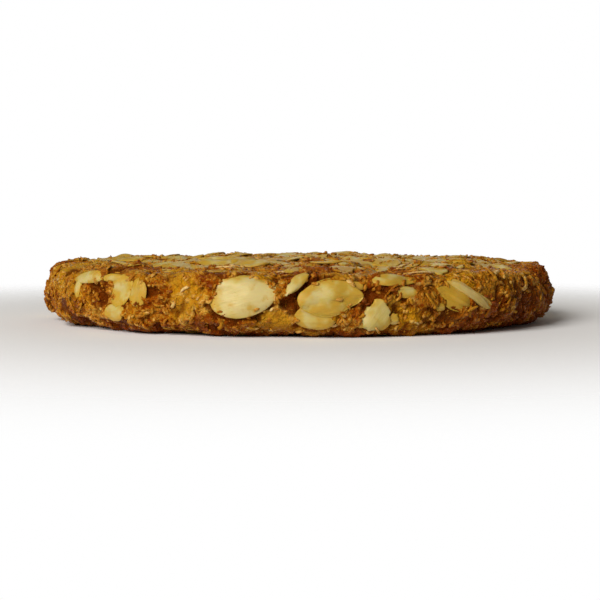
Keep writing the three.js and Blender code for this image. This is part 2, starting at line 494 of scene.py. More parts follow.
@dataclass(frozen=True)
class FlakeSizes:
    """Sizes and numbers of the rolled-oat flakes, in millimetres."""

    marks: FlakeMarks = FlakeMarks()
    shortest: float = 4.8
    longest: float = 9.0
    slimmest: float = 0.56
    roundest: float = 0.76
    tilt: float = math.radians(9)
    top_count: int = 58
    top_reach: float = 35.0
    rim_count: int = 22
    rim_from: float = math.radians(54)
    rim_to: float = math.radians(308)
    rim_lowest: float = 3.2
    rim_highest: float = 5.6
    rim_lean: float = math.radians(38)
    stray: float = 2.4
    golden_turn: float = math.pi * (3 - math.sqrt(5))
    top_film: Pair = (-0.35, 0.85)
    top_lift: Pair = (-0.05, 0.18)
    top_toast: Pair = (1.2, 3.0)
    rim_toast: Pair = (1.5, 2.6)
    rim_film: Pair = (0.3, 0.9)
    scrap_film: Pair = (-0.05, 0.75)
    scrap_lift: Pair = (-0.25, 0.05)
    front_clear: float = math.radians(88)
    front_film: float = 1.4
    strewn_nearest: float = 0.001
    strewn_slimmest: float = 0.36
    strewn_roundest: float = 0.74
    scrap_count: int = 330
    scrap_shortest: float = 1.6
    scrap_longest: float = 6.4
    scrap_thickness: float = 0.45
    scrap_tip: float = 0.3
    scrap_toast: Pair = (1.2, 2.4)
    scrap_clear: float = 1.05
    buried_count: int = 200
    buried_shortest: float = 2.2
    buried_longest: float = 6.4
    buried_level: float = 0.12
    buried_tilt: float = math.radians(15)
    lowest: float = 1.2
    base_count: int = 90
    base_reach: float = 35.0
    base_shortest: float = 2.0
    base_stray: float = 4.0
    base_film: Pair = (-0.3, 0.6)
    base_toast: Pair = (0.2, 1.1)
    front: tuple[FrontFlake, ...] = (
        FrontFlake(
            -12.3, 6.2, 9.8, 6.4, 9, FlakeKind.WHOLE, toast=0.0, film=-0.42,
            tip=-5, creep=115, lift=0.04, gap=0.4, gap_way=-125,
        ),
        FrontFlake(
            5.5, 6, 9.2, 5.2, 9, FlakeKind.CREASED, toast=0.1, film=0.08,
            tip=-4, creep=-10, lift=0.02, seed=2, gap=1.2, gap_way=145,
        ),
        FrontFlake(
            2.6, 3.1, 6.2, 4, 5, FlakeKind.SNAPPED, toast=0.22, film=0.06,
            tip=-6, creep=-20, lift=-0.06, seed=3,
        ),
        FrontFlake(
            -1.7, 7.7, 5.4, 1.8, 45, FlakeKind.TORN, toast=0.15, film=-0.1,
            tip=8, lift=0.1, seed=4, gap=0.6,
        ),
        FrontFlake(
            14.7, 3, 5.6, 4.8, 232, FlakeKind.TORN, toast=0.0, film=-0.12,
            tip=4, creep=150, lift=0, seed=5, gap=0.4, gap_way=90,
        ),
        FrontFlake(20.9, 6.4, 3.4, 1.7, 0, FlakeKind.WHOLE, toast=0.25, film=0.02, creep=-100, lift=-0.12),
        FrontFlake(
            19.1, 8.3, 7.4, 2.4, 5, FlakeKind.GROOVED, toast=0.1, film=0.15,
            creep=-70, lift=-0.14, seed=7,
        ),
        FrontFlake(31.5, 5.7, 5.8, 4, -30, FlakeKind.CREASED, toast=0.6, film=0.32, creep=200, lift=-0.2),
        FrontFlake(36, 6.4, 8.6, 1.5, -35, FlakeKind.ON_EDGE, toast=0.4, film=-0.3, lift=-0.16, gap=0.4),
        FrontFlake(-36, 6.1, 4.2, 3.2, 90, FlakeKind.CREASED, toast=0.4, film=0.3, creep=200, lift=-0.16),
        FrontFlake(
            -41.1, 6.2, 6, 4.4, 62, FlakeKind.WHOLE, toast=0.25, film=0.12,
            creep=150, lift=-0.06, seed=9,
        ),
        FrontFlake(
            -52, 8, 8.2, 2.1, 3, FlakeKind.WHOLE, toast=0.15, film=-0.05,
            lift=-0.04, seed=8, gap=0.3,
        ),
        FrontFlake(
            -43, 3, 5, 2.8, 12, FlakeKind.WHOLE, toast=0.25, film=0.12,
            tip=-6, creep=-120, lift=-0.06, seed=4,
        ),
        FrontFlake(47, 3.4, 5.2, 3.4, 25, FlakeKind.GROOVED, toast=0.85, film=1.4),
    )
    bits: tuple[FrontFlake, ...] = (
        FrontFlake(10.6, 7.4, 3.5, 1.5, 5, FlakeKind.TORN, toast=0.7, film=0.1),
        FrontFlake(18.5, 2.6, 2.4, 2, 0, FlakeKind.TORN, toast=0.3, film=0.1),
        FrontFlake(28.3, 4.2, 1.8, 1.2, 8, FlakeKind.TORN, toast=0.5, film=0.1),
        FrontFlake(-55, 6.6, 4.2, 1.7, 96, FlakeKind.SNAPPED, toast=0.15, film=0.0, creep=180),
        FrontFlake(-43.5, 8.2, 4.4, 1.2, 8, FlakeKind.WHOLE, toast=0.35, film=0.1, lift=-0.16),
    )


def object_from_mesh(mesh: bpy.types.Mesh, material: bpy.types.Material) -> bpy.types.Object:
    """Turns a mesh in millimetres into a piece of the biscuit.

    Args:
        mesh: The finished mesh; its name becomes the piece's name.
        material: The finish.

    Returns:
        The piece, in metres, riding on the biscuit's body.
    """
    mesh.transform(Matrix.Scale(MM, 4))
    mesh.materials.append(material)
    mesh.shade_smooth()
    piece = bpy.data.objects.new(mesh.name, mesh)
    bpy.context.scene.collection.objects.link(piece)
    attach(piece, BODY)
    return piece


def set_attribute(mesh: bpy.types.Mesh, name: str, values: np.ndarray) -> None:
    """Keeps one number, or one vector, for each corner point of a mesh.

    Args:
        mesh: The mesh.
        name: Name that the material reads.
        values: One row for each point.
    """
    kind, field_name = ("FLOAT", "value") if values.ndim == 1 else ("FLOAT_VECTOR", "vector")
    layer = mesh.attributes.new(name, kind, "POINT")
    layer.data.foreach_set(field_name, values.astype(np.float32).ravel())


def joined_mesh(name: str, shapes: list[np.ndarray], faces: list[np.ndarray]) -> bpy.types.Mesh:
    """Joins many small closed shapes of triangles into one mesh, none of them lower than the underside.

    Args:
        name: The mesh's name.
        shapes: Points of each shape.
        faces: Triangles of each shape, by the shape's own point numbers.

    Returns:
        The mesh.
    """
    firsts = np.cumsum([0] + [len(points) for points in shapes[:-1]])
    triangles = np.concatenate([own + first for own, first in zip(faces, firsts)])
    points = np.concatenate(shapes)
    points[:, 2] = np.maximum(points[:, 2], 0)
    mesh = bpy.data.meshes.new(name)
    mesh.from_pydata(points, [], triangles)
    mesh.update()
    return mesh


class Template:
    """A small closed shape made with mesh operators, kept as arrays so that copies of it can be joined."""

    def __init__(self, shape: bmesh.types.BMesh) -> None:
        """Keeps a shape's points and triangles, and frees the shape.

        Args:
            shape: The shape, closed, with its faces pointing out.
        """
        bmesh.ops.recalc_face_normals(shape, faces=shape.faces)
        bmesh.ops.triangulate(shape, faces=shape.faces)
        shape.verts.index_update()
        self.points = np.array([corner.co for corner in shape.verts])
        self.faces = np.array([[corner.index for corner in face.verts] for face in shape.faces])
        shape.free()

    @classmethod
    def ball(cls, detail: int) -> "Template":
        """A round ball of even triangles."""
        shape = bmesh.new()
        bmesh.ops.create_icosphere(shape, subdivisions=detail, radius=1)
        return cls(shape)

    @classmethod
    def strip(cls, steps: int) -> "Template":
        """A four-sided strip of length 2 along X, with some steps along it."""
        shape = bmesh.new()
        bmesh.ops.create_cube(shape, size=2)
        long_edges = [e for e in shape.edges if abs(e.verts[0].co.x - e.verts[1].co.x) > 1]
        bmesh.ops.subdivide_edges(shape, edges=long_edges, cuts=steps - 1, use_grid_fill=True)
        return cls(shape)


def toned_mesh(
    name: str, shapes: list[np.ndarray], tones: list[float], template: Template
) -> bpy.types.Mesh:
    """Joins many shapes made from one template, each with a tone of its own, into one mesh.

    Args:
        name: The mesh's name.
        shapes: Points of each shape.
        tones: Tone of each shape, from browned to pale.
        template: What they were shaped from.

    Returns:
        The mesh.
    """
    mesh = joined_mesh(name, shapes, [template.faces] * len(shapes))
    set_attribute(mesh, "tone", np.repeat(tones, len(template.points)))
    return mesh


class OatFlakes:
    """Rolled-oat flakes: those of the solid, scraps between them, flush ones underneath, and buried ones."""

    LARGE_DETAIL = 4
    SMALL_DETAIL = 3
    EDGE_POWER = 3.2
    THINNING = 0.2
    UPPER_FACE = 0.2
    CURL = (-0.02, 0.04)
    LOPSIDED = 0.08
    RAGGED_FROM = 3
    RAGGED_TO = 10
    RAGGED = {FlakeKind.TORN: 0.1, FlakeKind.CREASED: 0.08}
    LEAST_RAGGED = 0.03
    PHASES = 7
    TORN_BREAKS = 3
    BREAK_TURN = 0.7
    BREAK_AT = (0.55, 0.85)
    JAG = 0.16
    JAG_PITCH = 3.7
    FINE_JAG_PITCH = 8.3
    FINE_JAG_SHARE = 0.7
    ROD_BOW = 0.7
    PATTERN_STEP = 11.0
    DRAWN_KINDS = {
        FlakeKind.WHOLE: 0.24,
        FlakeKind.GROOVED: 0.14,
        FlakeKind.CREASED: 0.22,
        FlakeKind.TORN: 0.2,
        FlakeKind.SNAPPED: 0.2,
    }

    def __init__(self, sizes: FlakeSizes, slab: Slab, dough: Dough, draws: Draws, seed: int) -> None:
        """Draws every flake.

        Args:
            sizes: Sizes and numbers.
            slab: The skin that they lie in.
            dough: What creeps over them.
            draws: Draws that placed the solid's flakes.
            seed: Seed of what only the looks need.
        """
        self.sizes = sizes
        self.slab = slab
        self.dough = dough
        self.chance = np.random.default_rng(seed)
        self.large = self._top(draws) + self._rim(draws) + [flake.placed(slab) for flake in sizes.front]
        self.small = [flake.placed(slab) for flake in sizes.bits] + self._scraps()
        self.flush = self._underneath()
        self.buried = self._buried()

    def _seed(self) -> int:
        """Draws the seed of a flake's own shape."""
        return int(self.chance.integers(2**31))

    def _kind(self) -> FlakeKind:
        """Draws what a flake is like."""
        kinds = np.array(list(self.DRAWN_KINDS), dtype=object)
        return self.chance.choice(kinds, p=list(self.DRAWN_KINDS.values()))

    def _drawn(self, draws: Draws, most_turn: float, toast: Pair, **place: float) -> Flake:
        """A flake of a drawn size at a place, turned at most so far either way, more or less toasted."""
        s = self.sizes
        length = draws.between(s.shortest, s.longest)
        width = length * draws.between(s.slimmest, s.roundest)
        turn = draws.swing(most_turn)
        tip = draws.swing(s.tilt)
        return Flake(
            length=length,
            width=width,
            turn=turn,
            stretch=self.slab.stretch(place["reach"]),
            tip=tip,
            kind=self._kind(),
            toast=self.chance.beta(*toast),
            creep=self.chance.uniform(-math.pi, math.pi),
            seed=self._seed(),
            **place,
        )

    def _spiral(self, number: int, count: int, most: float) -> Place:
        """Place of one of a number of flakes that a spiral spreads evenly, as far out as most."""
        reach = most * math.sqrt((number + 0.5) / count)
        angle = number * self.sizes.golden_turn
        return reach * math.cos(angle), reach * math.sin(angle)

    def _top(self, draws: Draws) -> list[Flake]:
        """Flakes on the top, spread evenly and strayed a little."""
        s = self.sizes
        flakes = []
        for number in range(s.top_count):
            x, y = self._spiral(number, s.top_count, s.top_reach)
            x += draws.swing(s.stray / 2)
            y += draws.swing(s.stray / 2)
            flakes.append(self._drawn(
                draws, math.pi, s.top_toast, angle=math.atan2(y, x), reach=min(math.hypot(x, y), s.top_reach),
                film=self.chance.uniform(*s.top_film), lift=self.chance.uniform(*s.top_lift),
            ))
        return flakes

    def _rim(self, draws: Draws) -> list[Flake]:
        """Flakes round the sides and the back of the rim."""
        s = self.sizes
        flakes = []
        for number in range(s.rim_count):
            share = (number + 0.5) / s.rim_count
            turned = s.rim_from + (s.rim_to - s.rim_from) * share
            turned += draws.swing(s.stray / 2) / self.slab.sizes.radius
            reach = self.slab.reach_at_height(draws.between(s.rim_lowest, s.rim_highest))
            in_front = math.cos(turned) > math.cos(s.front_clear)
            film = s.front_film if in_front else self.chance.uniform(*s.rim_film)
            flakes.append(self._drawn(
                draws, s.rim_lean, s.rim_toast, angle=FRONT + turned, reach=reach, film=film
            ))
        return flakes

    def _strewn(self, shortest: float, longest: float) -> dict[str, float]:
        """Place, size and turn of a flake strewn anywhere on the top or rim."""
        s = self.sizes
        reach = self.slab.reach_at_height(s.lowest) * math.sqrt(self.chance.uniform(s.strewn_nearest, 1))
        length = self.chance.uniform(shortest, longest)
        return {
            "angle": self.chance.uniform(0, 2 * math.pi),
            "reach": reach,
            "length": length,
            "width": length * self.chance.uniform(s.strewn_slimmest, s.strewn_roundest),
            "turn": self.chance.uniform(-math.pi, math.pi),
            "stretch": self.slab.stretch(reach),
            "creep": self.chance.uniform(-math.pi, math.pi),
            "seed": self._seed(),
        }

    def _in_front(self, flake: Flake) -> bool:
        """Whether a flake lies on the front of the rim."""
        on_rim = flake.reach > self.sizes.top_reach
        return on_rim and math.cos(flake.angle - FRONT) > math.cos(self.sizes.front_clear)

    def _clear(self, flake: Flake) -> bool:
        """Whether the middle of a flake is clear of all larger ones."""
        middle = flake.places(np.zeros((1, 2)))
        clear = self.sizes.scrap_clear
        return all(np.hypot(*(large.local(middle)[0] / large.half)) > clear for large in self.large)

    def _scraps(self) -> list[Flake]:
        """Broken scraps in the gaps that the larger flakes leave."""
        s = self.sizes
        scraps = []
        while len(scraps) < s.scrap_count:
            scrap = Flake(
                **self._strewn(s.scrap_shortest, s.scrap_longest),
                tip=self.chance.uniform(-s.scrap_tip, s.scrap_tip),
                lift=self.chance.uniform(*s.scrap_lift),
                thickness=s.scrap_thickness,
                kind=self._kind(),
                toast=self.chance.beta(*s.scrap_toast),
                film=self.chance.uniform(*s.scrap_film),
            )
            if self._clear(scrap) and not self._in_front(scrap):
                scraps.append(scrap)
        return scraps

    def _buried(self) -> list[Flake]:
        """Flakes wholly covered by dough, which only show as smooth facets of the crumb."""
        s = self.sizes
        return [
            Flake(
                **self._strewn(s.buried_shortest, s.buried_longest),
                tip=self.chance.uniform(-s.buried_tilt, s.buried_tilt),
                lift=self.chance.uniform(-s.buried_level, s.buried_level),
                kind=FlakeKind.BURIED,
                toast=self.chance.uniform(),
            )
            for _ in range(s.buried_count)
        ]

    def _underneath(self) -> list[Flake]:
        """Flakes pressed flush into the flat underside."""
        s = self.sizes
        flakes = []
        for number in range(s.base_count):
            length = self.chance.uniform(s.base_shortest, s.longest)
            x, y = self._spiral(number, s.base_count, s.base_reach)
            x += self.chance.uniform(-s.base_stray, s.base_stray)
            y += self.chance.uniform(-s.base_stray, s.base_stray)
            flakes.append(Flake(
                angle=math.atan2(y, x),
                reach=min(math.hypot(x, y), s.base_reach),
                length=length,
                width=length * self.chance.uniform(s.slimmest, s.roundest),
                turn=self.chance.uniform(-math.pi, math.pi),
                stretch=1.0,
                kind=self._kind(),
                toast=self.chance.uniform(*s.base_toast),
                film=self.chance.uniform(*s.base_film),
                creep=self.chance.uniform(-math.pi, math.pi),
                seed=self._seed(),
                underneath=True,
            ))
        return flakes

    def _outline(self, chance: np.random.Generator, turns: np.ndarray, ragged: float) -> np.ndarray:
        """How far a flake's uneven edge stands out, as a share of its size, at some angles."""
        edge = 1 + chance.uniform(-self.LOPSIDED, self.LOPSIDED) * np.cos(turns)
        for waves in range(self.RAGGED_FROM, self.RAGGED_TO):
            swing = ragged / waves * chance.normal()
            edge += swing * np.cos(waves * turns + chance.uniform(0, self.PHASES))
        return edge

    def _cut(self, flat: np.ndarray, heading: float, keep: float, start: float) -> np.ndarray:
        """Breaks a flake off along a jagged line.

        Args:
            flat: The flake's points, along its long and short ways.
            heading: Direction, in the flake, of what is broken off.
            keep: Distance from the middle to the break.
            start: Where the jags start.

        Returns:
            The points, with those past the break brought back to it.
        """
        way = np.array([math.cos(heading), math.sin(heading)])
        side = np.array([-way[1], way[0]])
        along = flat @ side
        fine = self.FINE_JAG_SHARE * np.sin(along * self.FINE_JAG_PITCH + 2 * start)
        line = keep + self.JAG * (np.sin(along * self.JAG_PITCH + start) + fine)
        over = np.maximum(flat @ way - line, 0)
        return flat - over[:, None] * way

    def _shape(self, flake: Flake, ball: Template) -> tuple[np.ndarray, np.ndarray, np.ndarray]:
        """One flake's own shape.

        Args:
            flake: What it is like.
            ball: The ball that it is pressed out of.

        Returns:
            Its flat points, their heights, and how near to the edge each one is.
        """
        chance = np.random.default_rng(flake.seed)
        x, y, z = ball.points.T
        rim = np.hypot(x, y)
        ragged = self.RAGGED.get(flake.kind, self.LEAST_RAGGED)
        if flake.kind is FlakeKind.ON_EDGE:
            # The powers widen an oval towards its ends, so that it becomes an even rod.
            y = y * np.sqrt(1 + x**2 + x**4 + x**6) - self.ROD_BOW * (1 - x**2)
        edge = self._outline(chance, np.arctan2(y, x), ragged)
        flat = np.stack([x, y], axis=1) * flake.half * edge[:, None]
        if flake.kind in (FlakeKind.SNAPPED, FlakeKind.TORN):
            heading = chance.uniform(-self.BREAK_TURN, self.BREAK_TURN)
            breaks = self.TORN_BREAKS if flake.kind is FlakeKind.TORN else 1
            for number in range(breaks):
                turned = heading + number * 2 * math.pi / breaks
                size = math.hypot(flake.half[0] * math.cos(turned), flake.half[1] * math.sin(turned))
                keep = size * chance.uniform(*self.BREAK_AT)
                flat = self._cut(flat, turned, keep, chance.uniform(0, self.PHASES))
        thickness = flake.thickness * (1 - self.THINNING * rim**2)
        heights = np.sign(z) * thickness / 2 * np.sqrt(np.clip(1 - rim**self.EDGE_POWER, 0, 1))
        marks = self.sizes.marks.heights(flake, flat, rim, chance.uniform(0, self.PHASES))
        heights += smooth_step(z, 0, self.UPPER_FACE) * marks
        curl = chance.uniform(*self.CURL)
        heights += curl * flat[:, 0] ** 2 / flake.half[0] + flat[:, 1] * math.tan(flake.tip)
        return flat, heights + flake.lift, rim

    def build(self, material: bpy.types.Material) -> list[bpy.types.Object]:
        """Makes all flakes that show.

        Args:
            material: Their finish.

        Returns:
            One piece for the large flakes, and one for scraps and those underneath.
        """
        shown = [flake for flake in self.large if flake.film < self.sizes.front_film]
        return [
            self._piece("oat_flakes", shown, Template.ball(self.LARGE_DETAIL), material),
            self._piece("oat_scraps", self.small + self.flush, Template.ball(self.SMALL_DETAIL), material),
        ]

    def _piece(
        self, name: str, flakes: list[Flake], ball: Template, material: bpy.types.Material
    ) -> bpy.types.Object:
        """Makes some flakes as one piece.

        Args:
            name: The piece's name.
            flakes: The flakes.
            ball: The ball that they are pressed out of.
            material: Their finish.

        Returns:
            The piece.
        """
        shapes, faces = [], []
        marks = {"flake_place": [], "flake_edge": [], "toast": [], "soaked": []}
        for number, flake in enumerate(flakes):
            flat, heights, rim = self._shape(flake, ball)
            skin, normals = self.slab.unrolled(flake.places(flat))
            crept = self.dough.crept(flake, flat, self.dough.patches(skin))
            if flake.underneath:
                depths = np.maximum(flake.thickness / 2 - heights, 0)
                shapes.append(np.column_stack([flake.places(flat), depths]))
                faces.append(ball.faces[:, ::-1])
            else:
                shapes.append(skin + normals * heights[:, None])
                faces.append(ball.faces)
            # Each flake's pattern lies a step away from the last one's, so that no two are alike.
            pattern = np.full(len(flat), number * self.PATTERN_STEP)
            marks["flake_place"].append(np.column_stack([flat, pattern]))
            marks["flake_edge"].append(rim)
            marks["toast"].append(np.full(len(flat), flake.toast))
            marks["soaked"].append(self.dough.soaks(crept))
        mesh = joined_mesh(name, shapes, faces)
        for mark, values in marks.items():
            set_attribute(mesh, mark, np.concatenate(values))
        return object_from_mesh(mesh, material)


@dataclass(frozen=True)
class FrontPatch:
    """A patch of the front: more golden with syrup, or, below 0, darker, and sunk by a depth.

    It is placed by degrees round from the front and by height, and reaches some millimetres. A darker patch
    is partly toasted crumb and partly painted shade; the small sunk ones are painted shade in a crack and in
    pits.
    """

    round: float
    height: float
    reach: float
    syrup: float
    depth: float = 0.0


@dataclass(frozen=True)
class CrumbSizes:
    """Sizes of the crumb body's mesh and of its relief, in millimetres."""

    top_cells: int = 192
    base_cells: int = 116
    rings: int = 58
    top_reach: float = 32.5
    lump_pitch: float = 2.1
    lump_height: float = 0.28
    grain_pitch: float = 0.9
    grain_height: float = 0.36
    cell_reach: float = 0.7
    cell_lowest: float = -0.4
    cell_middle: float = 0.45
    tone_spread: float = 37.0
    thread_pitch: float = 1.9
    thread_height: float = 0.18
    thread_width: float = 0.3
    thread_middle: float = 0.2
    swell_pitch: float = 5.0
    swell_height: float = 0.16
    pit_pitch: float = 2.6
    pit_depth: float = 0.6
    pit_from: float = 0.2
    pit_slope: float = 0.3
    base_depth: float = 0.45
    base_bed: float = 0.4
    bed_depth: float = 0.42
    bed_from: float = 0.74
    bed_to: float = 0.97
    lip_height: float = 0.12
    lip_at: float = 1.08
    lip_spread: float = 0.12
    gap_at: float = 1.1
    gap_spread: float = 0.1
    gap_from: float = 0.1
    gap_to: float = 0.75
    gap_dark: float = 0.5
    film_height: float = 0.05
    film_relief: float = 0.9
    film_lowest: float = -0.12
    facet_relief: float = 0.4
    facet_from: float = 0.78
    facet_to: float = 1.02
    facet_edge: float = 0.07
    facet_uneven: float = 0.12
    facet_bare: Pair = (0.2, 0.8)
    facet_clear: float = 0.5
    hollow_clear: float = 0.8
    hollow_cleared: Pair = (0.55, 0.85)
    relief_span: float = 0.8
    open_height: float = 0.7
    top_slope: float = 0.9
    top_spots: float = 0.45
    top_relief: float = 0.8
    syrup_pitch: float = 6.5
    syrup_swing: float = 1.7
    syrup_spots: float = 0.4
    syrup_cleared: Pair = (-0.2, 0.6)
    syrup_relief: float = 0.65
    syrup_smoothed: Pair = (0.0, 0.8)
    flake_light: float = 0.7
    syrup_light: float = 0.55
    # Patches below 0 darken the crumb: the small sunk ones are painted shade in a crack and pits, the broad
    # low ones partly toasting and partly painted shade.
    patches: tuple[FrontPatch, ...] = (
        FrontPatch(-26, 5.4, 4.5, 1.2),
        FrontPatch(-35, 8, 3.5, 0.5),
        FrontPatch(-47.5, 5, 1.8, -1.2, 0.3),
        FrontPatch(-32, 5, 1.6, -0.5),
        FrontPatch(-2.5, 5.4, 0.9, -1, 0.6),
        FrontPatch(-0.6, 6.1, 0.7, -1, 0.7),
        FrontPatch(1.2, 6.9, 0.6, -1, 0.7),
        FrontPatch(-4, 4.5, 2, -0.4, 0.1),
        FrontPatch(12.5, 4.9, 1.7, -1.1, 0.4),
        FrontPatch(23.5, 5, 4, -0.6),
        FrontPatch(54, 4, 7, -1.2, 0.2),
        FrontPatch(72, 4, 7, -1.2),
        FrontPatch(50, 8, 4, 1.1),
        FrontPatch(60, 7.6, 3, 0.9),
        FrontPatch(-8, 2, 5, 0.5),
        FrontPatch(-34, 2.6, 5, -1.1),
        FrontPatch(-19, 2.4, 4, -0.8),
        FrontPatch(-6, 7, 1.6, -0.7),
    )


class CrumbBody:
    """The baked crumb that holds everything: one closed skin, with dents where the flakes lie."""

    UNDER_LEVEL = -1.0
    EDGE_PEAK = 4
    THREAD_SHIFT = Vector((7, 3, 11))
    PIT_SHIFT = Vector((31, 17, 5))
    SYRUP_SHIFT = Vector((3, 5, 2))

    def __init__(self, sizes: CrumbSizes, slab: Slab, dough: Dough) -> None:
        """Keeps the sizes, the skin's form and how the dough creeps."""
        self.sizes = sizes
        self.slab = slab
        self.dough = dough
        self.flat = np.zeros((0, 3))
        self.points = np.zeros((0, 3))
        self.normals = np.zeros((0, 3))
        self.marks: dict[str, np.ndarray] = {}

    @staticmethod
    def _rounded(places: np.ndarray) -> np.ndarray:
        """Moves the points of a square from -1 to 1 into a round disc, keeping them evenly spread."""
        a, b = places.T
        wide = np.abs(a) >= np.abs(b)
        reach = np.where(wide, a, b)
        other = np.where(wide, b, a)
        turn = math.pi / 4 * other / np.where(reach == 0, 1, reach)
        turn = np.where(wide, turn, math.pi / 2 - turn)
        return np.stack([reach * np.cos(turn), reach * np.sin(turn)], axis=1)

    def _round_grid(self, shape: bmesh.types.BMesh, cells: int, reach: float, level: float) -> None:
        """Adds a disc of even cells at a level, out to a reach."""
        corners = bmesh.ops.create_grid(shape, x_segments=cells, y_segments=cells, size=1)["verts"]
        places = self._rounded(np.array([corner.co.xy for corner in corners]))
        for corner, place in zip(corners, places * reach):
            corner.co = (place[0], place[1], level)

    def _flat_skin(self) -> bmesh.types.BMesh:
        """The skin as a flat pattern: top and rim unrolled about the top's middle, the underside below."""
        s = self.sizes
        shape = bmesh.new()
        self._round_grid(shape, s.top_cells, s.top_reach, 0)
        edge = [e for e in shape.edges if e.is_boundary]
        rim_reach = self.slab.reach_at_height(0)
        step = (rim_reach - s.top_reach) / s.rings
        for ring in range(s.rings):
            grown = bmesh.ops.extrude_edge_only(shape, edges=edge)["geom"]
            edge = [e for e in grown if isinstance(e, bmesh.types.BMEdge)]
            growth = (s.top_reach + (ring + 1) * step) / (s.top_reach + ring * step)
            outer = [v for v in grown if isinstance(v, bmesh.types.BMVert)]
            bmesh.ops.scale(shape, vec=(growth, growth, 1), verts=outer)
        self._round_grid(shape, s.base_cells, self.slab.length - rim_reach - step, self.UNDER_LEVEL)
        under = [e for e in shape.edges if e.is_boundary and e.verts[0].co.z < 0]
        bmesh.ops.bridge_loops(shape, edges=edge + under)
        return shape

    def _relief(self, points: np.ndarray) -> np.ndarray:
        """Lumps, grains, threads, swells and pits of the crumb at some points of the skin."""
        s = self.sizes
        heights = np.empty(len(points))
        tones = np.empty(len(points))
        for number, place in enumerate(map(Vector, points)):
            lump = 1 - (noise.voronoi(place / s.lump_pitch)[0][0] / s.cell_reach) ** 2
            away, middles = noise.voronoi(place / s.grain_pitch)
            grain = 1 - (away[0] / s.cell_reach) ** 2
            tones[number] = noise.cell(middles[0] * s.tone_spread)
            thread = 1 - abs(noise.noise(place / s.thread_pitch + self.THREAD_SHIFT)) / s.thread_width
            swell = noise.noise(place / s.swell_pitch)
            pit = noise.noise(place / s.pit_pitch + self.PIT_SHIFT)
            pit = min(max((-pit - s.pit_from) / s.pit_slope, 0), 1)
            heights[number] = (
                s.lump_height * (max(lump, s.cell_lowest) - s.cell_middle)
                + s.grain_height * (max(grain, s.cell_lowest) - s.cell_middle)
                + s.thread_height * (max(thread, 0) ** 2 - s.thread_middle)
                + s.swell_height * swell
                - s.pit_depth * pit * pit * (3 - 2 * pit)
            )
        self.marks["grain"] = (tones - tones.min()) / (tones.max() - tones.min())
        return heights

    def _sweetened(self, points: np.ndarray) -> np.ndarray:
        """Marks where syrup has baked golden, and sinks the front's hollows.

        Args:
            points: Points of the skin.

        Returns:
            How far the crumb is sunk there.
        """
        s = self.sizes
        syrup = np.array([
            s.syrup_swing * noise.noise(place / s.syrup_pitch + self.SYRUP_SHIFT)
            for place in map(Vector, points)
        ])
        sunk = np.zeros(len(points))
        for patch in s.patches:
            angle = np.array([FRONT + math.radians(patch.round)])
            reach = np.array([self.slab.reach_at_height(patch.height)])
            middle = self.slab.skin(angle, reach)[0][0]
            near = bell(np.linalg.norm(points - middle, axis=1), 0, patch.reach)
            # A patch below 0 lowers the syrup mark, which darkens the crumb, partly as painted shade.
            syrup += patch.syrup * near
            sunk += patch.depth * near
        self.marks["syrup"] = np.clip(syrup, -1, 1)
        return sunk

    @staticmethod
    def _near(flake: Flake, places: np.ndarray) -> tuple[np.ndarray, np.ndarray, np.ndarray]:
        """Finds the points near a flake.

        Args:
            flake: The flake.
            places: Places of all points on the unrolled skin.

        Returns:
            The near points' numbers, their places in the flake, and how far out each is, 1 at its edge.
        """
        local = flake.local(places)
        near = np.flatnonzero((np.abs(local) < flake.length).all(axis=1))
        own = local[near]
        return near, own, np.hypot(*(own / flake.half).T)

    def _raise(self, name: str, near: np.ndarray, values: np.ndarray) -> None:
        """Raises a mark to some values at the points near a flake, where it is lower."""
        self.marks[name][near] = np.maximum(self.marks[name][near], values)

    def _faceted(
        self, heights: np.ndarray, places: np.ndarray, patches: np.ndarray, buried: list[Flake]
    ) -> np.ndarray:
        """Smooths the crumb over each buried flake, and marks its tone and bare edge.

        Args:
            heights: The crumb's heights out of the skin.
            places: Places of the same points on the unrolled skin.
            patches: The dough's uneven patches there.
            buried: The flakes that the dough covers.

        Returns:
            The new heights.
        """
        s = self.sizes
        heights = heights.copy()
        for name in ("facet", "tone", "edge"):
            self.marks[name] = np.zeros(len(heights))
        for flake in buried:
            near, own, out = self._near(flake, places)
            out += s.facet_uneven * patches[near]
            inside = 1 - smooth_step(out, s.facet_from, s.facet_to)
            plane = flake.lift + own[:, 1] * math.tan(flake.tip)
            heights[near] += inside * (plane + (s.facet_relief - 1) * heights[near])
            turned = np.cos(np.arctan2(own[:, 1], own[:, 0]) - flake.creep)
            bare = bell(out, s.facet_to, s.facet_edge) * smooth_step(turned, *s.facet_bare)
            self._raise("facet", near, inside)
            self.marks["tone"][near] += inside * (flake.toast - self.marks["tone"][near])
            self.marks["edge"][near] *= 1 - inside
            self._raise("edge", near, bare)
        return heights

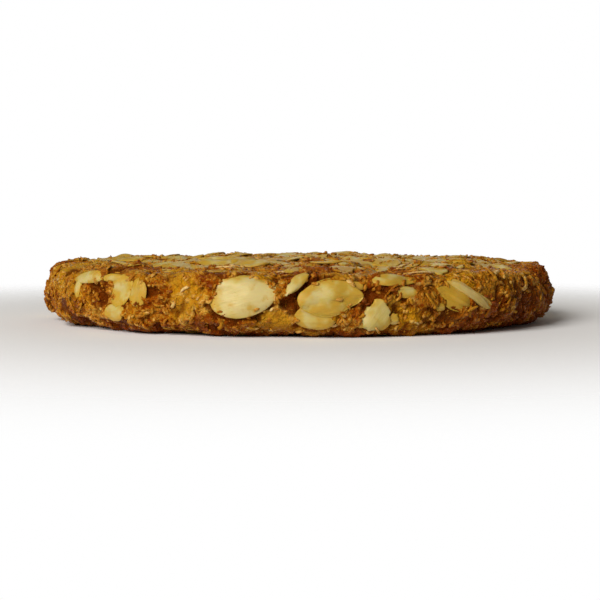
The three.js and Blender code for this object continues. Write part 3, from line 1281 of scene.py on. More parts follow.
    def _bedded(
        self, heights: np.ndarray, places: np.ndarray, patches: np.ndarray, flakes: list[Flake]
    ) -> np.ndarray:
        """Sinks the crumb under each flake, and brings it over the flake where dough has crept up.

        Args:
            heights: The crumb's heights out of the skin.
            places: Places of the same points on the unrolled skin.
            patches: The dough's uneven patches there.
            flakes: The flakes that lie in it.

        Returns:
            The new heights.
        """
        s = self.sizes
        heights = heights.copy()
        for name in ("covered", "film", "rise"):
            self.marks[name] = np.zeros(len(heights))
        for flake in flakes:
            near, own, out = self._near(flake, places)
            inside = 1 - smooth_step(out, s.bed_from, s.bed_to)
            face = flake.lift + flake.thickness / 2 + own[:, 1] * math.tan(flake.tip)
            over = self.dough.covers(self.dough.crept(flake, own, patches[near]))
            bed = np.minimum(heights[near], face - s.bed_depth)
            film = face + s.film_height + s.film_relief * np.maximum(heights[near], s.film_lowest)
            heights[near] += inside * (bed + over * (film - bed) - heights[near])
            turned = np.cos(np.arctan2(*(own / flake.half).T[::-1]) - flake.gap_way)
            gap = bell(out, s.gap_at, s.gap_spread) * smooth_step(turned, s.gap_from, s.gap_to)
            lip = bell(out, s.lip_at, s.lip_spread) * (1 - over) * (1 - gap)
            heights[near] += s.lip_height * lip - flake.gap * gap
            # Painted shade: a gap beside a flake also raises the mark that darkens the crumb in hollows.
            room = 1 - self.marks["hollow_shade"][near]
            self.marks["hollow_shade"][near] += np.minimum(gap * flake.gap / s.gap_dark, room)
            bare = inside * (1 - over)
            self._raise("rise", near, bare * (face - bed))
            self._raise("covered", near, bare)
            self._raise("film", near, inside * over)
        return heights

    def _pressed(
        self, relief: np.ndarray, under: np.ndarray, patches: np.ndarray, flakes: list[Flake]
    ) -> np.ndarray:
        """Sinks the flat underside into its pits, and behind the flakes that lie flush in it.

        Args:
            relief: The crumb's own heights.
            under: Which points belong to the underside.
            patches: The dough's uneven patches.
            flakes: The flush flakes.

        Returns:
            How high each point stands over the tray.
        """
        s = self.sizes
        sunk = np.maximum(-relief, 0) * s.base_depth
        for flake in flakes:
            near, own, out = self._near(flake, self.flat[:, :2])
            over = self.dough.covers(self.dough.crept(flake, own, patches[near]))
            bare = (1 - smooth_step(out, s.bed_from, s.bed_to)) * (1 - over) * under[near]
            sunk[near] += bare * (s.base_bed - sunk[near])
        return sunk

    def spots(self, chance: np.random.Generator, count: int, at_edges: float, on_flakes: float) -> np.ndarray:
        """Draws points of the top and rim.

        Args:
            chance: Where the draws come from.
            count: How many points.
            at_edges: How many more there are at the edges of flakes than on open crumb.
            on_flakes: How many there are on bare flakes, as a share of those on open crumb.

        Returns:
            The points' numbers.
        """
        s = self.sizes
        covered = self.marks["covered"]
        weights = 1 - (1 - on_flakes) * covered + at_edges * self.EDGE_PEAK * covered * (1 - covered)
        weights *= 1 - s.facet_clear * self.marks["facet"]
        weights *= 1 - s.hollow_clear * smooth_step(self.marks["hollow_shade"], *s.hollow_cleared)
        weights *= 1 - (1 - s.syrup_spots) * smooth_step(self.marks["syrup"], *s.syrup_cleared)
        weights *= np.where(self.normals[:, 2] > s.top_slope, s.top_spots, 1)
        weights *= self.points[:, 2] > s.open_height
        return chance.choice(len(weights), count, replace=False, p=weights / weights.sum())

    def face(self, spot: int) -> np.ndarray:
        """The place on the crumb, or on the flake that lies over it, at a point."""
        return self.points[spot] + self.normals[spot] * self.marks["rise"][spot]

    def lighter(self, spot: int) -> float:
        """How much lighter small things are at a point: more on flakes and syrup, less on toasted crumb."""
        s = self.sizes
        return s.flake_light * self.marks["covered"][spot] + s.syrup_light * self.marks["syrup"][spot]

    def nearest(self, angle: float, reach: float) -> int:
        """Number of the point of the top or rim that is nearest to a place."""
        place = np.array([reach * math.cos(angle), reach * math.sin(angle), 0])
        return int(np.linalg.norm(self.flat - place, axis=1).argmin())

    def _dressed(self, mesh: bpy.types.Mesh, oats: OatFlakes) -> None:
        """Moves the flat pattern's points to the craggy skin, with the crumb's relief and the flakes' beds.

        Args:
            mesh: The flat pattern, which becomes the crumb body.
            oats: All flakes that lie in it.
        """
        s = self.sizes
        flat = np.empty(len(mesh.vertices) * 3)
        mesh.vertices.foreach_get("co", flat)
        self.flat = flat.reshape(-1, 3)
        under = self.flat[:, 2] < self.UNDER_LEVEL / 2
        reaches = np.hypot(self.flat[:, 0], self.flat[:, 1])
        reaches = np.where(under, self.slab.length - reaches, reaches)
        angles = np.arctan2(self.flat[:, 1], self.flat[:, 0])
        points, self.normals = self.slab.skin(angles, reaches)
        relief = self._relief(points) * np.where(self.normals[:, 2] > s.top_slope, s.top_relief, 1)
        sunk = self._sweetened(points)
        relief *= 1 - (1 - s.syrup_relief) * smooth_step(self.marks["syrup"], *s.syrup_smoothed)
        relief -= sunk
        patches = self.dough.patches(points)
        heights = self._faceted(relief, self.flat[:, :2], patches, oats.buried)
        # Painted shade: the crumb is marked darker the lower its relief stands.
        self.marks["hollow_shade"] = np.clip(0.5 - heights / s.relief_span, 0, 1)
        heights = self._bedded(heights, self.flat[:, :2], patches, oats.large + oats.small)
        for name in ("facet", "edge", "film"):
            self.marks[name] *= ~under
        points += self.normals * np.where(under, 0, heights)[:, None]
        base = self._pressed(relief, under, patches, oats.flush)
        points[:, 2] = np.where(under, base, np.maximum(points[:, 2], base))
        mesh.vertices.foreach_set("co", points.ravel())
        mesh.update()
        self.points = points

    def build(self, material: bpy.types.Material, oats: OatFlakes) -> bpy.types.Object:
        """Makes the crumb body.

        Args:
            material: Its finish.
            oats: All flakes that lie in it.

        Returns:
            The piece, which stands for the whole solid.
        """
        shape = self._flat_skin()
        mesh = bpy.data.meshes.new("crumb_body")
        shape.to_mesh(mesh)
        self._dressed(mesh, oats)
        shape.clear()
        shape.from_mesh(mesh)
        bmesh.ops.recalc_face_normals(shape, faces=shape.faces)
        shape.to_mesh(mesh)
        shape.free()
        for name in ("hollow_shade", "grain", "syrup", "film", "facet", "tone", "edge"):
            set_attribute(mesh, name, self.marks[name])
        piece = object_from_mesh(mesh, material)
        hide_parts(NODE)
        return piece


@dataclass(frozen=True)
class GrainSizes:
    """Sizes and numbers of one kind of loose grain, in millimetres, and how finely it is made."""

    name: str
    seed: int
    count: int
    smallest: float
    largest: float
    detail: int
    at_edges: float
    on_flakes: float
    tones: Pair
    flattest: float = 0.4
    shapes: int = 8
    unevenness: float = 0.26
    sunk: float = 0.4


LUMPS = GrainSizes(
    "crumb_lumps", SEED + 2, 1500, 0.3, 0.75, detail=2, at_edges=0.3, on_flakes=0.005, tones=(1.1, 1.5)
)
FINE_GRAINS = GrainSizes(
    "crumb_grains", SEED + 3, 4800, 0.14, 0.38, detail=1, at_edges=0.2, on_flakes=0.003, tones=(1.5, 2.0)
)


class CrumbGrains:
    """Grains of crumb, sugar and oat meal that stand out of the baked skin."""

    def __init__(self, sizes: GrainSizes) -> None:
        """Keeps the sizes and starts the draws."""
        self.sizes = sizes
        self.chance = np.random.default_rng(sizes.seed)

    def _uneven(self, ball: Template) -> list[np.ndarray]:
        """Some uneven grains pressed out of one ball."""
        s = self.sizes
        grains = []
        for _ in range(s.shapes):
            stretch = self.chance.uniform(s.flattest, 1, 3)
            push = 1 + self.chance.normal(0, s.unevenness, (len(ball.points), 1))
            grains.append(ball.points * stretch * push)
        return grains

    def _turns(self, count: int) -> np.ndarray:
        """Random turns, as matrices."""
        q = self.chance.normal(size=(count, 4))
        w, x, y, z = (q / np.linalg.norm(q, axis=1)[:, None]).T
        rows = [
            [1 - 2 * (y * y + z * z), 2 * (x * y - z * w), 2 * (x * z + y * w)],
            [2 * (x * y + z * w), 1 - 2 * (x * x + z * z), 2 * (y * z - x * w)],
            [2 * (x * z - y * w), 2 * (y * z + x * w), 1 - 2 * (x * x + y * y)],
        ]
        return np.moveaxis(np.array(rows), 2, 0)

    def build(self, material: bpy.types.Material, crumb: CrumbBody) -> bpy.types.Object:
        """Makes all grains of the kind as one piece.

        Args:
            material: Their finish.
            crumb: The finished crumb body that they sit on.

        Returns:
            The piece.
        """
        s = self.sizes
        ball = Template.ball(s.detail)
        grains = self._uneven(ball)
        spots = crumb.spots(self.chance, s.count, s.at_edges, s.on_flakes)
        radii = s.smallest + (s.largest - s.smallest) * self.chance.beta(*MOSTLY_SMALL, s.count)
        shapes, tones = [], []
        for spot, radius, turn in zip(spots, radii, self._turns(s.count)):
            own = grains[self.chance.integers(s.shapes)] @ turn.T * radius
            shapes.append(own + crumb.face(spot) - crumb.normals[spot] * radius * s.sunk)
            tones.append(self.chance.beta(*s.tones) + crumb.lighter(spot))
        return object_from_mesh(toned_mesh(s.name, shapes, tones, ball), material)


@dataclass(frozen=True)
class FrontShred:
    """A coconut shred that shows at the front.

    It is placed by degrees round from the front and reach along the section. It leans up to the right by some
    degrees, turns through some degrees from end to end, and has a tone from browned to pale.
    """

    round: float
    reach: float
    length: float
    lean: float
    bend: float
    tone: float


@dataclass(frozen=True)
class ShredSizes:
    """Sizes, number and tones of one kind of shred, in millimetres, and how finely it is made."""

    name: str
    seed: int
    slot: Slot
    count: int
    shortest: float
    longest: float
    narrowest: float
    widest: float
    thinnest: float
    thickest: float
    steps: int
    tones: Pair
    proud: float
    bend: float = 1.3
    arch: float = 0.12
    twist: float = 0.7
    slope: float = 0.12
    at_edges: float = 0.0
    on_flakes: float = 0.0
    front: tuple[FrontShred, ...] = ()


COCONUT = ShredSizes(
    "coconut_shreds", SEED + 6, Slot.COCONUT, 420, 0.8, 3.4, 0.24, 0.6, 0.14, 0.3,
    steps=8, tones=(1.2, 1.9), proud=0.03,
    front=(
        FrontShred(-26.5, 36, 2.6, 2, 15, 1.4),
        FrontShred(-17, 35.2, 4.8, -4, 50, 1.5),
        FrontShred(-20, 33.0, 3.0, 8, 30, 1.2),
        FrontShred(-5, 35.6, 2.8, -12, 40, 1.3),
        FrontShred(9, 36.4, 2.6, 10, 60, 1.0),
        FrontShred(27, 37.3, 4.2, -6, 30, 1.1),
        FrontShred(52, 41.4, 6.4, 80, 300, 0.75),
        FrontShred(44, 39.5, 3.0, 20, 60, 0.7),
        FrontShred(-27.5, 43.8, 2.0, 60, 40, 0.3),
        FrontShred(-22, 44.6, 1.8, 110, 40, 0.2),
        FrontShred(26, 43.4, 2.6, -50, 50, 0.6),
    ),
)
FIBRES = ShredSizes(
    "crumb_fibres", SEED + 4, Slot.CRUMB, 2400, 0.6, 1.8, 0.28, 0.52, 0.24, 0.4,
    steps=4, tones=(1.5, 2.1), proud=-0.1, slope=0.1, arch=0.18, at_edges=0.2,
)


class Shreds:
    """Curved shreds that lie in and across the crumb."""

    TAPER = (0.2, 0.7)
    TAPER_POWER = 3
    ARCH_MIDDLE = 0.3
    LEAST_RISE = 1e-6

    def __init__(self, sizes: ShredSizes) -> None:
        """Keeps the sizes and starts the draws."""
        self.sizes = sizes
        self.chance = np.random.default_rng(sizes.seed)

    def _shape(self, strip: Template, length: float, bend: float) -> np.ndarray:
        """One shred's own shape, along X, with its broad side up.

        Args:
            strip: The strip that it is bent from.
            length: Its length.
            bend: Angle that it turns through from end to end.

        Returns:
            Its points.
        """
        s = self.sizes
        x, y, z = strip.points.T
        taper = 1 - self.chance.uniform(*self.TAPER) * np.abs(x) ** self.TAPER_POWER
        across = y * taper * self.chance.uniform(s.narrowest, s.widest) / 2
        thick = z * taper * self.chance.uniform(s.thinnest, s.thickest) / 2
        turn = self.chance.uniform(-s.twist, s.twist) * x
        sideways = across * np.cos(turn) - thick * np.sin(turn)
        up = across * np.sin(turn) + thick * np.cos(turn)
        up -= length * self.chance.uniform(0, s.arch) * (x * x - self.ARCH_MIDDLE)
        radius = length / bend
        heading = bend * x / 2
        along = radius * np.sin(heading) - sideways * np.sin(heading)
        aside = radius * (1 - np.cos(heading)) + sideways * np.cos(heading)
        return np.stack([along, aside - aside.mean(), up], axis=1)

    def _ways(self, normal: np.ndarray, lean: float) -> np.ndarray:
        """Directions along, across and out of the skin for a shred that leans up to the right by an angle."""
        up = normal + self.chance.normal(0, self.sizes.slope, 3)
        up /= np.linalg.norm(up)
        level = np.array([-normal[1], normal[0], self.LEAST_RISE])
        level -= up * (level @ up)
        level /= np.linalg.norm(level)
        along = level * math.cos(lean) + np.cross(up, level) * math.sin(lean)
        return np.stack([along, np.cross(up, along), up])

    def build(self, material: bpy.types.Material, crumb: CrumbBody) -> bpy.types.Object:
        """Makes all shreds as one piece.

        Args:
            material: Their finish.
            crumb: The finished crumb body that they lie on.

        Returns:
            The piece.
        """
        s = self.sizes
        strip = Template.strip(s.steps)
        laid = []
        for spot in crumb.spots(self.chance, s.count, s.at_edges, s.on_flakes):
            length = s.shortest + (s.longest - s.shortest) * self.chance.beta(*MOSTLY_SMALL)
            bend = self.chance.normal(0, s.bend)
            lean = self.chance.uniform(0, 2 * math.pi)
            laid.append((spot, length, bend, lean, self.chance.beta(*s.tones)))
        for shred in s.front:
            spot = crumb.nearest(FRONT + math.radians(shred.round), shred.reach)
            bend, lean = math.radians(shred.bend), math.radians(shred.lean)
            laid.append((spot, shred.length, bend, lean, shred.tone))
        shapes, tones = [], []
        for spot, length, bend, lean, tone in laid:
            normal = crumb.normals[spot]
            own = self._shape(strip, length, bend)
            shapes.append(own @ self._ways(normal, lean) + crumb.face(spot) + normal * s.proud)
            tones.append(tone + crumb.lighter(spot))
        return object_from_mesh(toned_mesh(s.name, shapes, tones, strip), material)


class Bench:
    """Adds nodes to a shader tree and joins them."""

    # A mix node keeps its colour sockets after those for numbers and vectors.
    MIX_INPUTS = (6, 7)
    MIX_OUTPUT = 2

    def __init__(self, tree: bpy.types.ShaderNodeTree) -> None:
        """Works on one tree."""
        self.tree = tree

    def add(self, kind: str, **settings: object) -> bpy.types.Node:
        """Adds a node.

        Args:
            kind: The node's type, without the words that every shader node's type starts with.
            settings: Properties of the node.

        Returns:
            The node.
        """
        node = self.tree.nodes.new(f"ShaderNode{kind}")
        for name, value in settings.items():
            setattr(node, name, value)
        return node

    def feed(self, socket: bpy.types.NodeSocket, source: object) -> None:
        """Sets a socket to a constant, or joins another node's socket to it."""
        if isinstance(source, bpy.types.NodeSocket):
            self.tree.links.new(source, socket)
        else:
            socket.default_value = source

    def attribute(self, name: str, output: str = "Fac") -> bpy.types.NodeSocket:
        """Reads one of the piece's own attributes."""
        return self.add("Attribute", attribute_name=name).outputs[output]

    def millimetres(self) -> bpy.types.NodeSocket:
        """The piece's own coordinates, in millimetres."""
        scaled = self.add("VectorMath", operation="SCALE")
        self.feed(scaled.inputs[0], self.add("TexCoord").outputs["Object"])
        scaled.inputs["Scale"].default_value = 1 / MM
        return scaled.outputs["Vector"]

    def height(self, place: bpy.types.NodeSocket) -> bpy.types.NodeSocket:
        """How high up a place is."""
        node = self.add("SeparateXYZ")
        self.feed(node.inputs[0], place)
        return node.outputs["Z"]

    def noise(self, place: object, pitch: float, detail: float = 3, shift: float = 0) -> bpy.types.NodeSocket:
        """Soft noise from 0 to 1.

        Args:
            place: Where it is read.
            pitch: About how wide its patches are, in millimetres.
            detail: How many times finer noise is added to it.
            shift: Any number, which gives a pattern of its own.

        Returns:
            The noise.
        """
        node = self.add("TexNoise", noise_dimensions="4D")
        self.feed(node.inputs["Vector"], place)
        node.inputs["W"].default_value = shift
        node.inputs["Scale"].default_value = 1 / pitch
        node.inputs["Detail"].default_value = detail
        return node.outputs["Fac"]

    def threads(self, place: object, pitch: float, width: float, shift: float) -> bpy.types.NodeSocket:
        """Thin winding threads about a pitch apart: 1 along each thread, 0 between them."""
        soft = self.noise(place, pitch, detail=1, shift=shift)
        away = self.sum("ABSOLUTE", self.sum("SUBTRACT", soft, 0.5))
        return self.spread(away, 0, width, 1, 0)

    def cells(self, place: object, pitch: float, output: str = "Distance") -> bpy.types.NodeSocket:
        """The nearest of many cells, each about a pitch across: distance to its middle, or its own colour."""
        node = self.add("TexVoronoi")
        self.feed(node.inputs["Vector"], place)
        node.inputs["Scale"].default_value = 1 / pitch
        return node.outputs[output]

    def spread(
        self, value: object, low: float, high: float, first: float = 0, last: float = 1
    ) -> bpy.types.NodeSocket:
        """Maps a value smoothly from low and high to first and last."""
        node = self.add("MapRange", interpolation_type="SMOOTHSTEP")
        names = ("Value", "From Min", "From Max", "To Min", "To Max")
        for name, source in zip(names, (value, low, high, first, last)):
            self.feed(node.inputs[name], source)
        return node.outputs["Result"]

    def sum(self, operation: str, *values: object) -> bpy.types.NodeSocket:
        """Works out a sum of one to three values."""
        node = self.add("Math", operation=operation)
        for socket, source in zip(node.inputs, values):
            self.feed(socket, source)
        return node.outputs["Value"]

    def mix(self, share: object, first: object, second: object) -> bpy.types.NodeSocket:
        """Mixes two colours by a share."""
        node = self.add("Mix", data_type="RGBA")
        self.feed(node.inputs["Factor"], share)
        for number, source in zip(self.MIX_INPUTS, (first, second)):
            self.feed(node.inputs[number], (*source, 1) if isinstance(source, tuple) else source)
        return node.outputs[self.MIX_OUTPUT]

    def group(self, tree: bpy.types.ShaderNodeTree, **inputs: object) -> bpy.types.NodeSocket:
        """Places a shared effect with its own values, and gives its first output."""
        node = self.add("Group", node_tree=tree)
        for name, source in inputs.items():
            self.feed(node.inputs[name], (*source, 1) if isinstance(source, tuple) else source)
        return node.outputs[0]

    def bump(self, height: object, distance: float) -> bpy.types.NodeSocket:
        """Fine relief from a height, at most a distance deep, in millimetres."""
        node = self.add("Bump")
        node.inputs["Distance"].default_value = distance * MM
        self.feed(node.inputs["Height"], height)
        return node.outputs["Normal"]


class Effects:
    """Effects that more than one finish uses, each a node group that is built once."""

    TOASTED_PITCH = 0.55
    TOASTED_SHARE = 0.44
    TOASTED_SOFT_PITCH = 2.6
    TOASTED_SOFT_DETAIL = 4
    TOASTED_SOFT_SHARE = 1.6
    TONE_SHARE = 0.5
    TONE_LEAST = 0.055
    MIDDLE_TONES = (0.1, 0.5)
    PALE_TONES = (0.5, 0.95)
    GLOSS_PITCH = 1.6
    GLOSS_ROUGHNESS = (0.35, 0.65, 0.62, 0.32)
    GRIT_PITCH = 0.42
    GRIT_SOFT_PITCH = 0.3
    GRIT_SOFT_SHARE = 0.6
    THREAD_PITCH = 1.3
    THREAD_WIDTH = 0.05
    THREAD_SHARE = 0.7

    def __init__(self) -> None:
        """Builds the groups."""
        self.mottle = self._mottle()
        self.gloss = self._gloss()
        self.grit = self._grit()

    @staticmethod
    def _group(
        name: str, output: tuple[str, str], **inputs: str
    ) -> tuple[bpy.types.ShaderNodeTree, Bench, dict[str, bpy.types.NodeSocket], bpy.types.NodeSocket]:
        """Starts a group.

        Args:
            name: The effect's name.
            output: Name and socket kind of what it gives.
            inputs: Names and socket kinds of what it takes.

        Returns:
            The tree, a bench on it, its input sockets by name, and its output socket.
        """
        tree = bpy.data.node_groups.new(name, "ShaderNodeTree")
        for label, kind in inputs.items():
            tree.interface.new_socket(label, in_out="INPUT", socket_type=f"NodeSocket{kind}")
        tree.interface.new_socket(output[0], in_out="OUTPUT", socket_type=f"NodeSocket{output[1]}")
        start = tree.nodes.new("NodeGroupInput")
        end = tree.nodes.new("NodeGroupOutput")
        return tree, Bench(tree), {label: start.outputs[label] for label in inputs}, end.inputs[0]

    def _mottle(self) -> bpy.types.ShaderNodeTree:
        """Uneven toasting: fine grains round a given tone, from dark by way of a middle colour to pale."""
        tree, bench, given, out = self._group(
            "uneven_toasting", ("Colour", "Color"),
            Place="Vector", Tone="Float", Pale="Color", Middle="Color", Dark="Color",
        )
        fine = bench.cells(given["Place"], self.TOASTED_PITCH, "Color")
        soft = bench.noise(given["Place"], self.TOASTED_SOFT_PITCH, self.TOASTED_SOFT_DETAIL)
        tone = bench.sum("MULTIPLY_ADD", given["Tone"], self.TONE_SHARE, self.TONE_LEAST)
        tone = bench.sum("MULTIPLY_ADD", fine, self.TOASTED_SHARE, tone)
        tone = bench.sum("MULTIPLY_ADD", bench.sum("SUBTRACT", soft, 0.5), self.TOASTED_SOFT_SHARE, tone)
        colour = bench.mix(bench.spread(tone, *self.MIDDLE_TONES), given["Dark"], given["Middle"])
        bench.feed(out, bench.mix(bench.spread(tone, *self.PALE_TONES), colour, given["Pale"]))
        return tree

    def _gloss(self) -> bpy.types.ShaderNodeTree:
        """Patches of syrup: smoother where it has soaked through, rougher between."""
        tree, bench, given, out = self._group("syrup_gloss", ("Roughness", "Float"), Place="Vector")
        patches = bench.noise(given["Place"], self.GLOSS_PITCH, shift=9)
        bench.feed(out, bench.spread(patches, *self.GLOSS_ROUGHNESS))
        return tree

    def _grit(self) -> bpy.types.ShaderNodeTree:
        """Height of the finest crumb: small cells with soft noise and threads over them."""
        tree, bench, given, out = self._group("fine_grit", ("Height", "Float"), Place="Vector")
        cells = bench.sum("SUBTRACT", 1.0, bench.cells(given["Place"], self.GRIT_PITCH))
        soft = bench.noise(given["Place"], self.GRIT_SOFT_PITCH)
        soft = bench.sum("MULTIPLY_ADD", soft, self.GRIT_SOFT_SHARE, cells)
        threads = bench.threads(given["Place"], self.THREAD_PITCH, self.THREAD_WIDTH, shift=12)
        bench.feed(out, bench.sum("MULTIPLY_ADD", threads, self.THREAD_SHARE, soft))
        return tree


@dataclass(frozen=True)
class Finish:
    """What every finish of the biscuit has.

    That is a name, how strongly it mirrors light, the mirror's tint, how much light goes through it, and how
    deep that goes, in millimetres, with a share for each of red, green and blue.
    """

    name: str
    mirror: float = 0.08
    mirror_tint: Colour = (1.0, 0.65, 0.2)
    glow: float = 0.25
    glow_depth: float = 0.45
    glow_reach: Colour = (1.0, 0.35, 0.1)

    def start(self) -> tuple[bpy.types.Material, Bench, bpy.types.Node]:
        """Starts the material.

        Returns:
            The material, a bench on its tree, and its shader.
        """
        material = bpy.data.materials.new(self.name)
        material.use_nodes = True
        shader = material.node_tree.nodes["Principled BSDF"]
        shader.inputs["Specular IOR Level"].default_value = self.mirror
        shader.inputs["Specular Tint"].default_value = (*self.mirror_tint, 1)
        shader.inputs["Subsurface Weight"].default_value = self.glow
        shader.inputs["Subsurface Radius"].default_value = self.glow_reach
        shader.inputs["Subsurface Scale"].default_value = self.glow_depth * MM
        return material, Bench(material.node_tree), shader


@dataclass(frozen=True)
class CrumbFinish(Finish):
    """Baked golden crumb: golden with syrup and smoother over buried flakes.

    It has painted shade in hollows and in gaps beside flakes, painted light on the top and on the ridges of
    the fine grit, and is darker towards the bottom, partly browned by the tray and partly painted shade.
    """

    name: str = "baked_crumb"
    pale: Colour = (0.6, 0.32, 0.045)
    middle: Colour = (0.39, 0.13, 0.004)
    dark: Colour = (0.17, 0.024, 0.0004)
    syrup: Colour = (0.53, 0.25, 0.007)
    toasted: Colour = (0.23, 0.038, 0.0005)
    film: Colour = (0.44, 0.22, 0.012)
    rust: Colour = (0.3, 0.075, 0.003)
    ochre: Colour = (0.45, 0.25, 0.02)
    bare_edge: Colour = (0.56, 0.37, 0.09)
    # Painted shade in hollows and in gaps beside flakes.
    painted_shade: Colour = (0.1, 0.017, 0.0006)
    # Darker towards the bottom: partly browning from the tray, partly painted shade along the undercut lower
    # edge.
    tray_brown_and_shade: Colour = (0.17, 0.028, 0.0006)
    # Painted light and sheen: paler, duller colour on the highest part of the top.
    crown: Colour = (0.5, 0.28, 0.05)
    # The fine grit's height around which its painted light and shade turn.
    grit_light_middle: float = 1.0
    syrup_pitch: float = 1.5
    syrup_swing: float = 1.2
    syrup_span: Span = (0.7, 1.25, 0, 0.78)
    toasted_span: Span = (0.62, -0.05, 0, 0.8)
    facet_share: float = 0.4
    film_share: float = 0.25
    edge_share: float = 0.75
    top_light_span: Span = (8.3, 9.3, 0, 0.1)
    hollow_shade_span: Span = (0.46, 0.95, 0, 0.9)
    tray_reach: float = 3.0
    tray_pitch: float = 4.5
    tray_detail: float = 4
    tray_span: Span = (0.35, 0.6, 0.5, 0.85)
    relief: float = 0.2

    def material(self, effects: Effects) -> bpy.types.Material:
        """Makes the material from the shared effects."""
        material, bench, shader = self.start()
        place = bench.millimetres()
        height = bench.height(place)
        grit = bench.group(effects.grit, Place=place)
        # Painted light and shade: the fine grit's height, which also bumps the normal, lightens the colour on
        # its ridges and darkens it between them.
        tone = bench.sum("SUBTRACT", grit, self.grit_light_middle)
        tone = bench.sum("ADD", tone, bench.attribute("grain"))
        colour = bench.group(
            effects.mottle, Place=place, Tone=tone, Pale=self.pale, Middle=self.middle, Dark=self.dark
        )
        syrup = bench.noise(place, self.syrup_pitch, shift=2)
        syrup = bench.sum("MULTIPLY_ADD", syrup, self.syrup_swing, bench.attribute("syrup"))
        colour = bench.mix(bench.spread(syrup, *self.syrup_span), colour, self.syrup)
        colour = bench.mix(bench.spread(syrup, *self.toasted_span), colour, self.toasted)
        facet = bench.mix(bench.attribute("tone"), self.rust, self.ochre)
        layers = (
            ("facet", self.facet_share, facet),
            ("film", self.film_share, self.film),
            ("edge", self.edge_share, self.bare_edge),
        )
        for mark, share, layer in layers:
            colour = bench.mix(bench.sum("MULTIPLY", bench.attribute(mark), share), colour, layer)
        # Painted light and sheen on the top.
        colour = bench.mix(bench.spread(height, *self.top_light_span), colour, self.crown)
        # Painted shade in hollows and gaps.
        colour = bench.mix(bench.spread(bench.attribute("hollow_shade"), *self.hollow_shade_span), colour, self.painted_shade)
        # Darker towards the bottom: partly tray browning, partly painted shade along the undercut lower edge.
        browned = bench.noise(place, self.tray_pitch, self.tray_detail, shift=8)
        browned = bench.spread(browned, *self.tray_span)
        browned = bench.sum("MULTIPLY", browned, bench.spread(height, 0, self.tray_reach, 1, 0))
        colour = bench.mix(browned, colour, self.tray_brown_and_shade)
        bench.feed(shader.inputs["Base Color"], colour)
        bench.feed(shader.inputs["Roughness"], bench.group(effects.gloss, Place=place))
        bench.feed(shader.inputs["Normal"], bench.bump(grit, self.relief))
        return material


@dataclass(frozen=True)
class OatFinish(Finish):
    """Rolled oats: cream to yellow-green, finely ribbed along their length, stained by syrup near dough."""

    name: str = "rolled_oat"
    mirror: float = 0.5
    mirror_tint: Colour = (1.0, 0.85, 0.6)
    roughness: float = 0.5
    cream: Colour = (0.56, 0.46, 0.19)
    leaf: Colour = (0.52, 0.41, 0.11)
    straw: Colour = (0.47, 0.29, 0.04)
    toasted: Colour = (0.38, 0.18, 0.015)
    browned: Colour = (0.25, 0.075, 0.003)
    soaked: Colour = (0.48, 0.28, 0.02)
    leaf_pitch: float = 2.8
    leaf_soaked: float = 0.5
    leaf_span: Span = (0.42, 0.72)
    straw_pitch: float = 1.6
    straw_span: Span = (0.52, 0.75)
    toast_least: float = 0.25
    toast_pitch: float = 1.8
    toast_swing: float = 0.5
    toast_tone: float = 0.5
    toast_span: Span = (0.1, 0.9)
    edge_power: float = 5.0
    edge_share: float = 0.45
    soaked_pitch: float = 0.8
    soaked_swing: float = 0.5
    soaked_span: Span = (0.35, 1.1, 0, 0.9)
    rib_pitch: float = 0.35
    rib_stretch: Point = (0.25, 1.0, 1.0)
    relief: float = 0.1

    def material(self, effects: Effects) -> bpy.types.Material:
        """Makes the material from the shared effects."""
        material, bench, shader = self.start()
        place = bench.attribute("flake_place", "Vector")
        soaked = bench.attribute("soaked")
        leafy = bench.sum("MULTIPLY_ADD", soaked, self.leaf_soaked, bench.noise(place, self.leaf_pitch))
        colour = bench.mix(bench.spread(leafy, *self.leaf_span), self.cream, self.leaf)
        strawy = bench.noise(place, self.straw_pitch, shift=5)
        colour = bench.mix(bench.spread(strawy, *self.straw_span), colour, self.straw)
        browning = bench.sum("SUBTRACT", bench.attribute("toast"), self.toast_least)
        uneven = bench.noise(place, self.toast_pitch, shift=3)
        browning = bench.sum("MULTIPLY_ADD", uneven, self.toast_swing, browning)
        toasted = bench.group(
            effects.mottle, Place=place, Tone=self.toast_tone,
            Pale=self.straw, Middle=self.toasted, Dark=self.browned,
        )
        colour = bench.mix(bench.spread(browning, *self.toast_span), colour, toasted)
        edge = bench.sum("POWER", bench.attribute("flake_edge"), self.edge_power)
        soaked = bench.sum("MULTIPLY_ADD", edge, self.edge_share, soaked)
        uneven = bench.noise(place, self.soaked_pitch, shift=6)
        soaked = bench.sum("MULTIPLY_ADD", uneven, self.soaked_swing, soaked)
        colour = bench.mix(bench.spread(soaked, *self.soaked_span), colour, self.soaked)
        bench.feed(shader.inputs["Base Color"], colour)
        shader.inputs["Roughness"].default_value = self.roughness
        ribs = bench.add("Mapping")
        ribs.inputs["Scale"].default_value = self.rib_stretch
        bench.feed(ribs.inputs["Vector"], place)
        height = bench.noise(ribs.outputs["Vector"], self.rib_pitch)
        bench.feed(shader.inputs["Normal"], bench.bump(height, self.relief))
        return material


@dataclass(frozen=True)
class TonedFinish(Finish):
    """Small things that each have a tone of their own, from well browned to pale."""

    brown: Colour = (0.19, 0.036, 0.001)
    golden: Colour = (0.39, 0.145, 0.005)
    pale: Colour = (0.58, 0.32, 0.06)
    relief: float = 0.08

    def material(self, effects: Effects) -> bpy.types.Material:
        """Makes the material from the shared effects."""
        material, bench, shader = self.start()
        place = bench.millimetres()
        colour = bench.group(
            effects.mottle, Place=place, Tone=bench.attribute("tone"),
            Pale=self.pale, Middle=self.golden, Dark=self.brown,
        )
        bench.feed(shader.inputs["Base Color"], colour)
        bench.feed(shader.inputs["Roughness"], bench.group(effects.gloss, Place=place))
        grit = bench.group(effects.grit, Place=place)
        bench.feed(shader.inputs["Normal"], bench.bump(grit, self.relief))
        return material


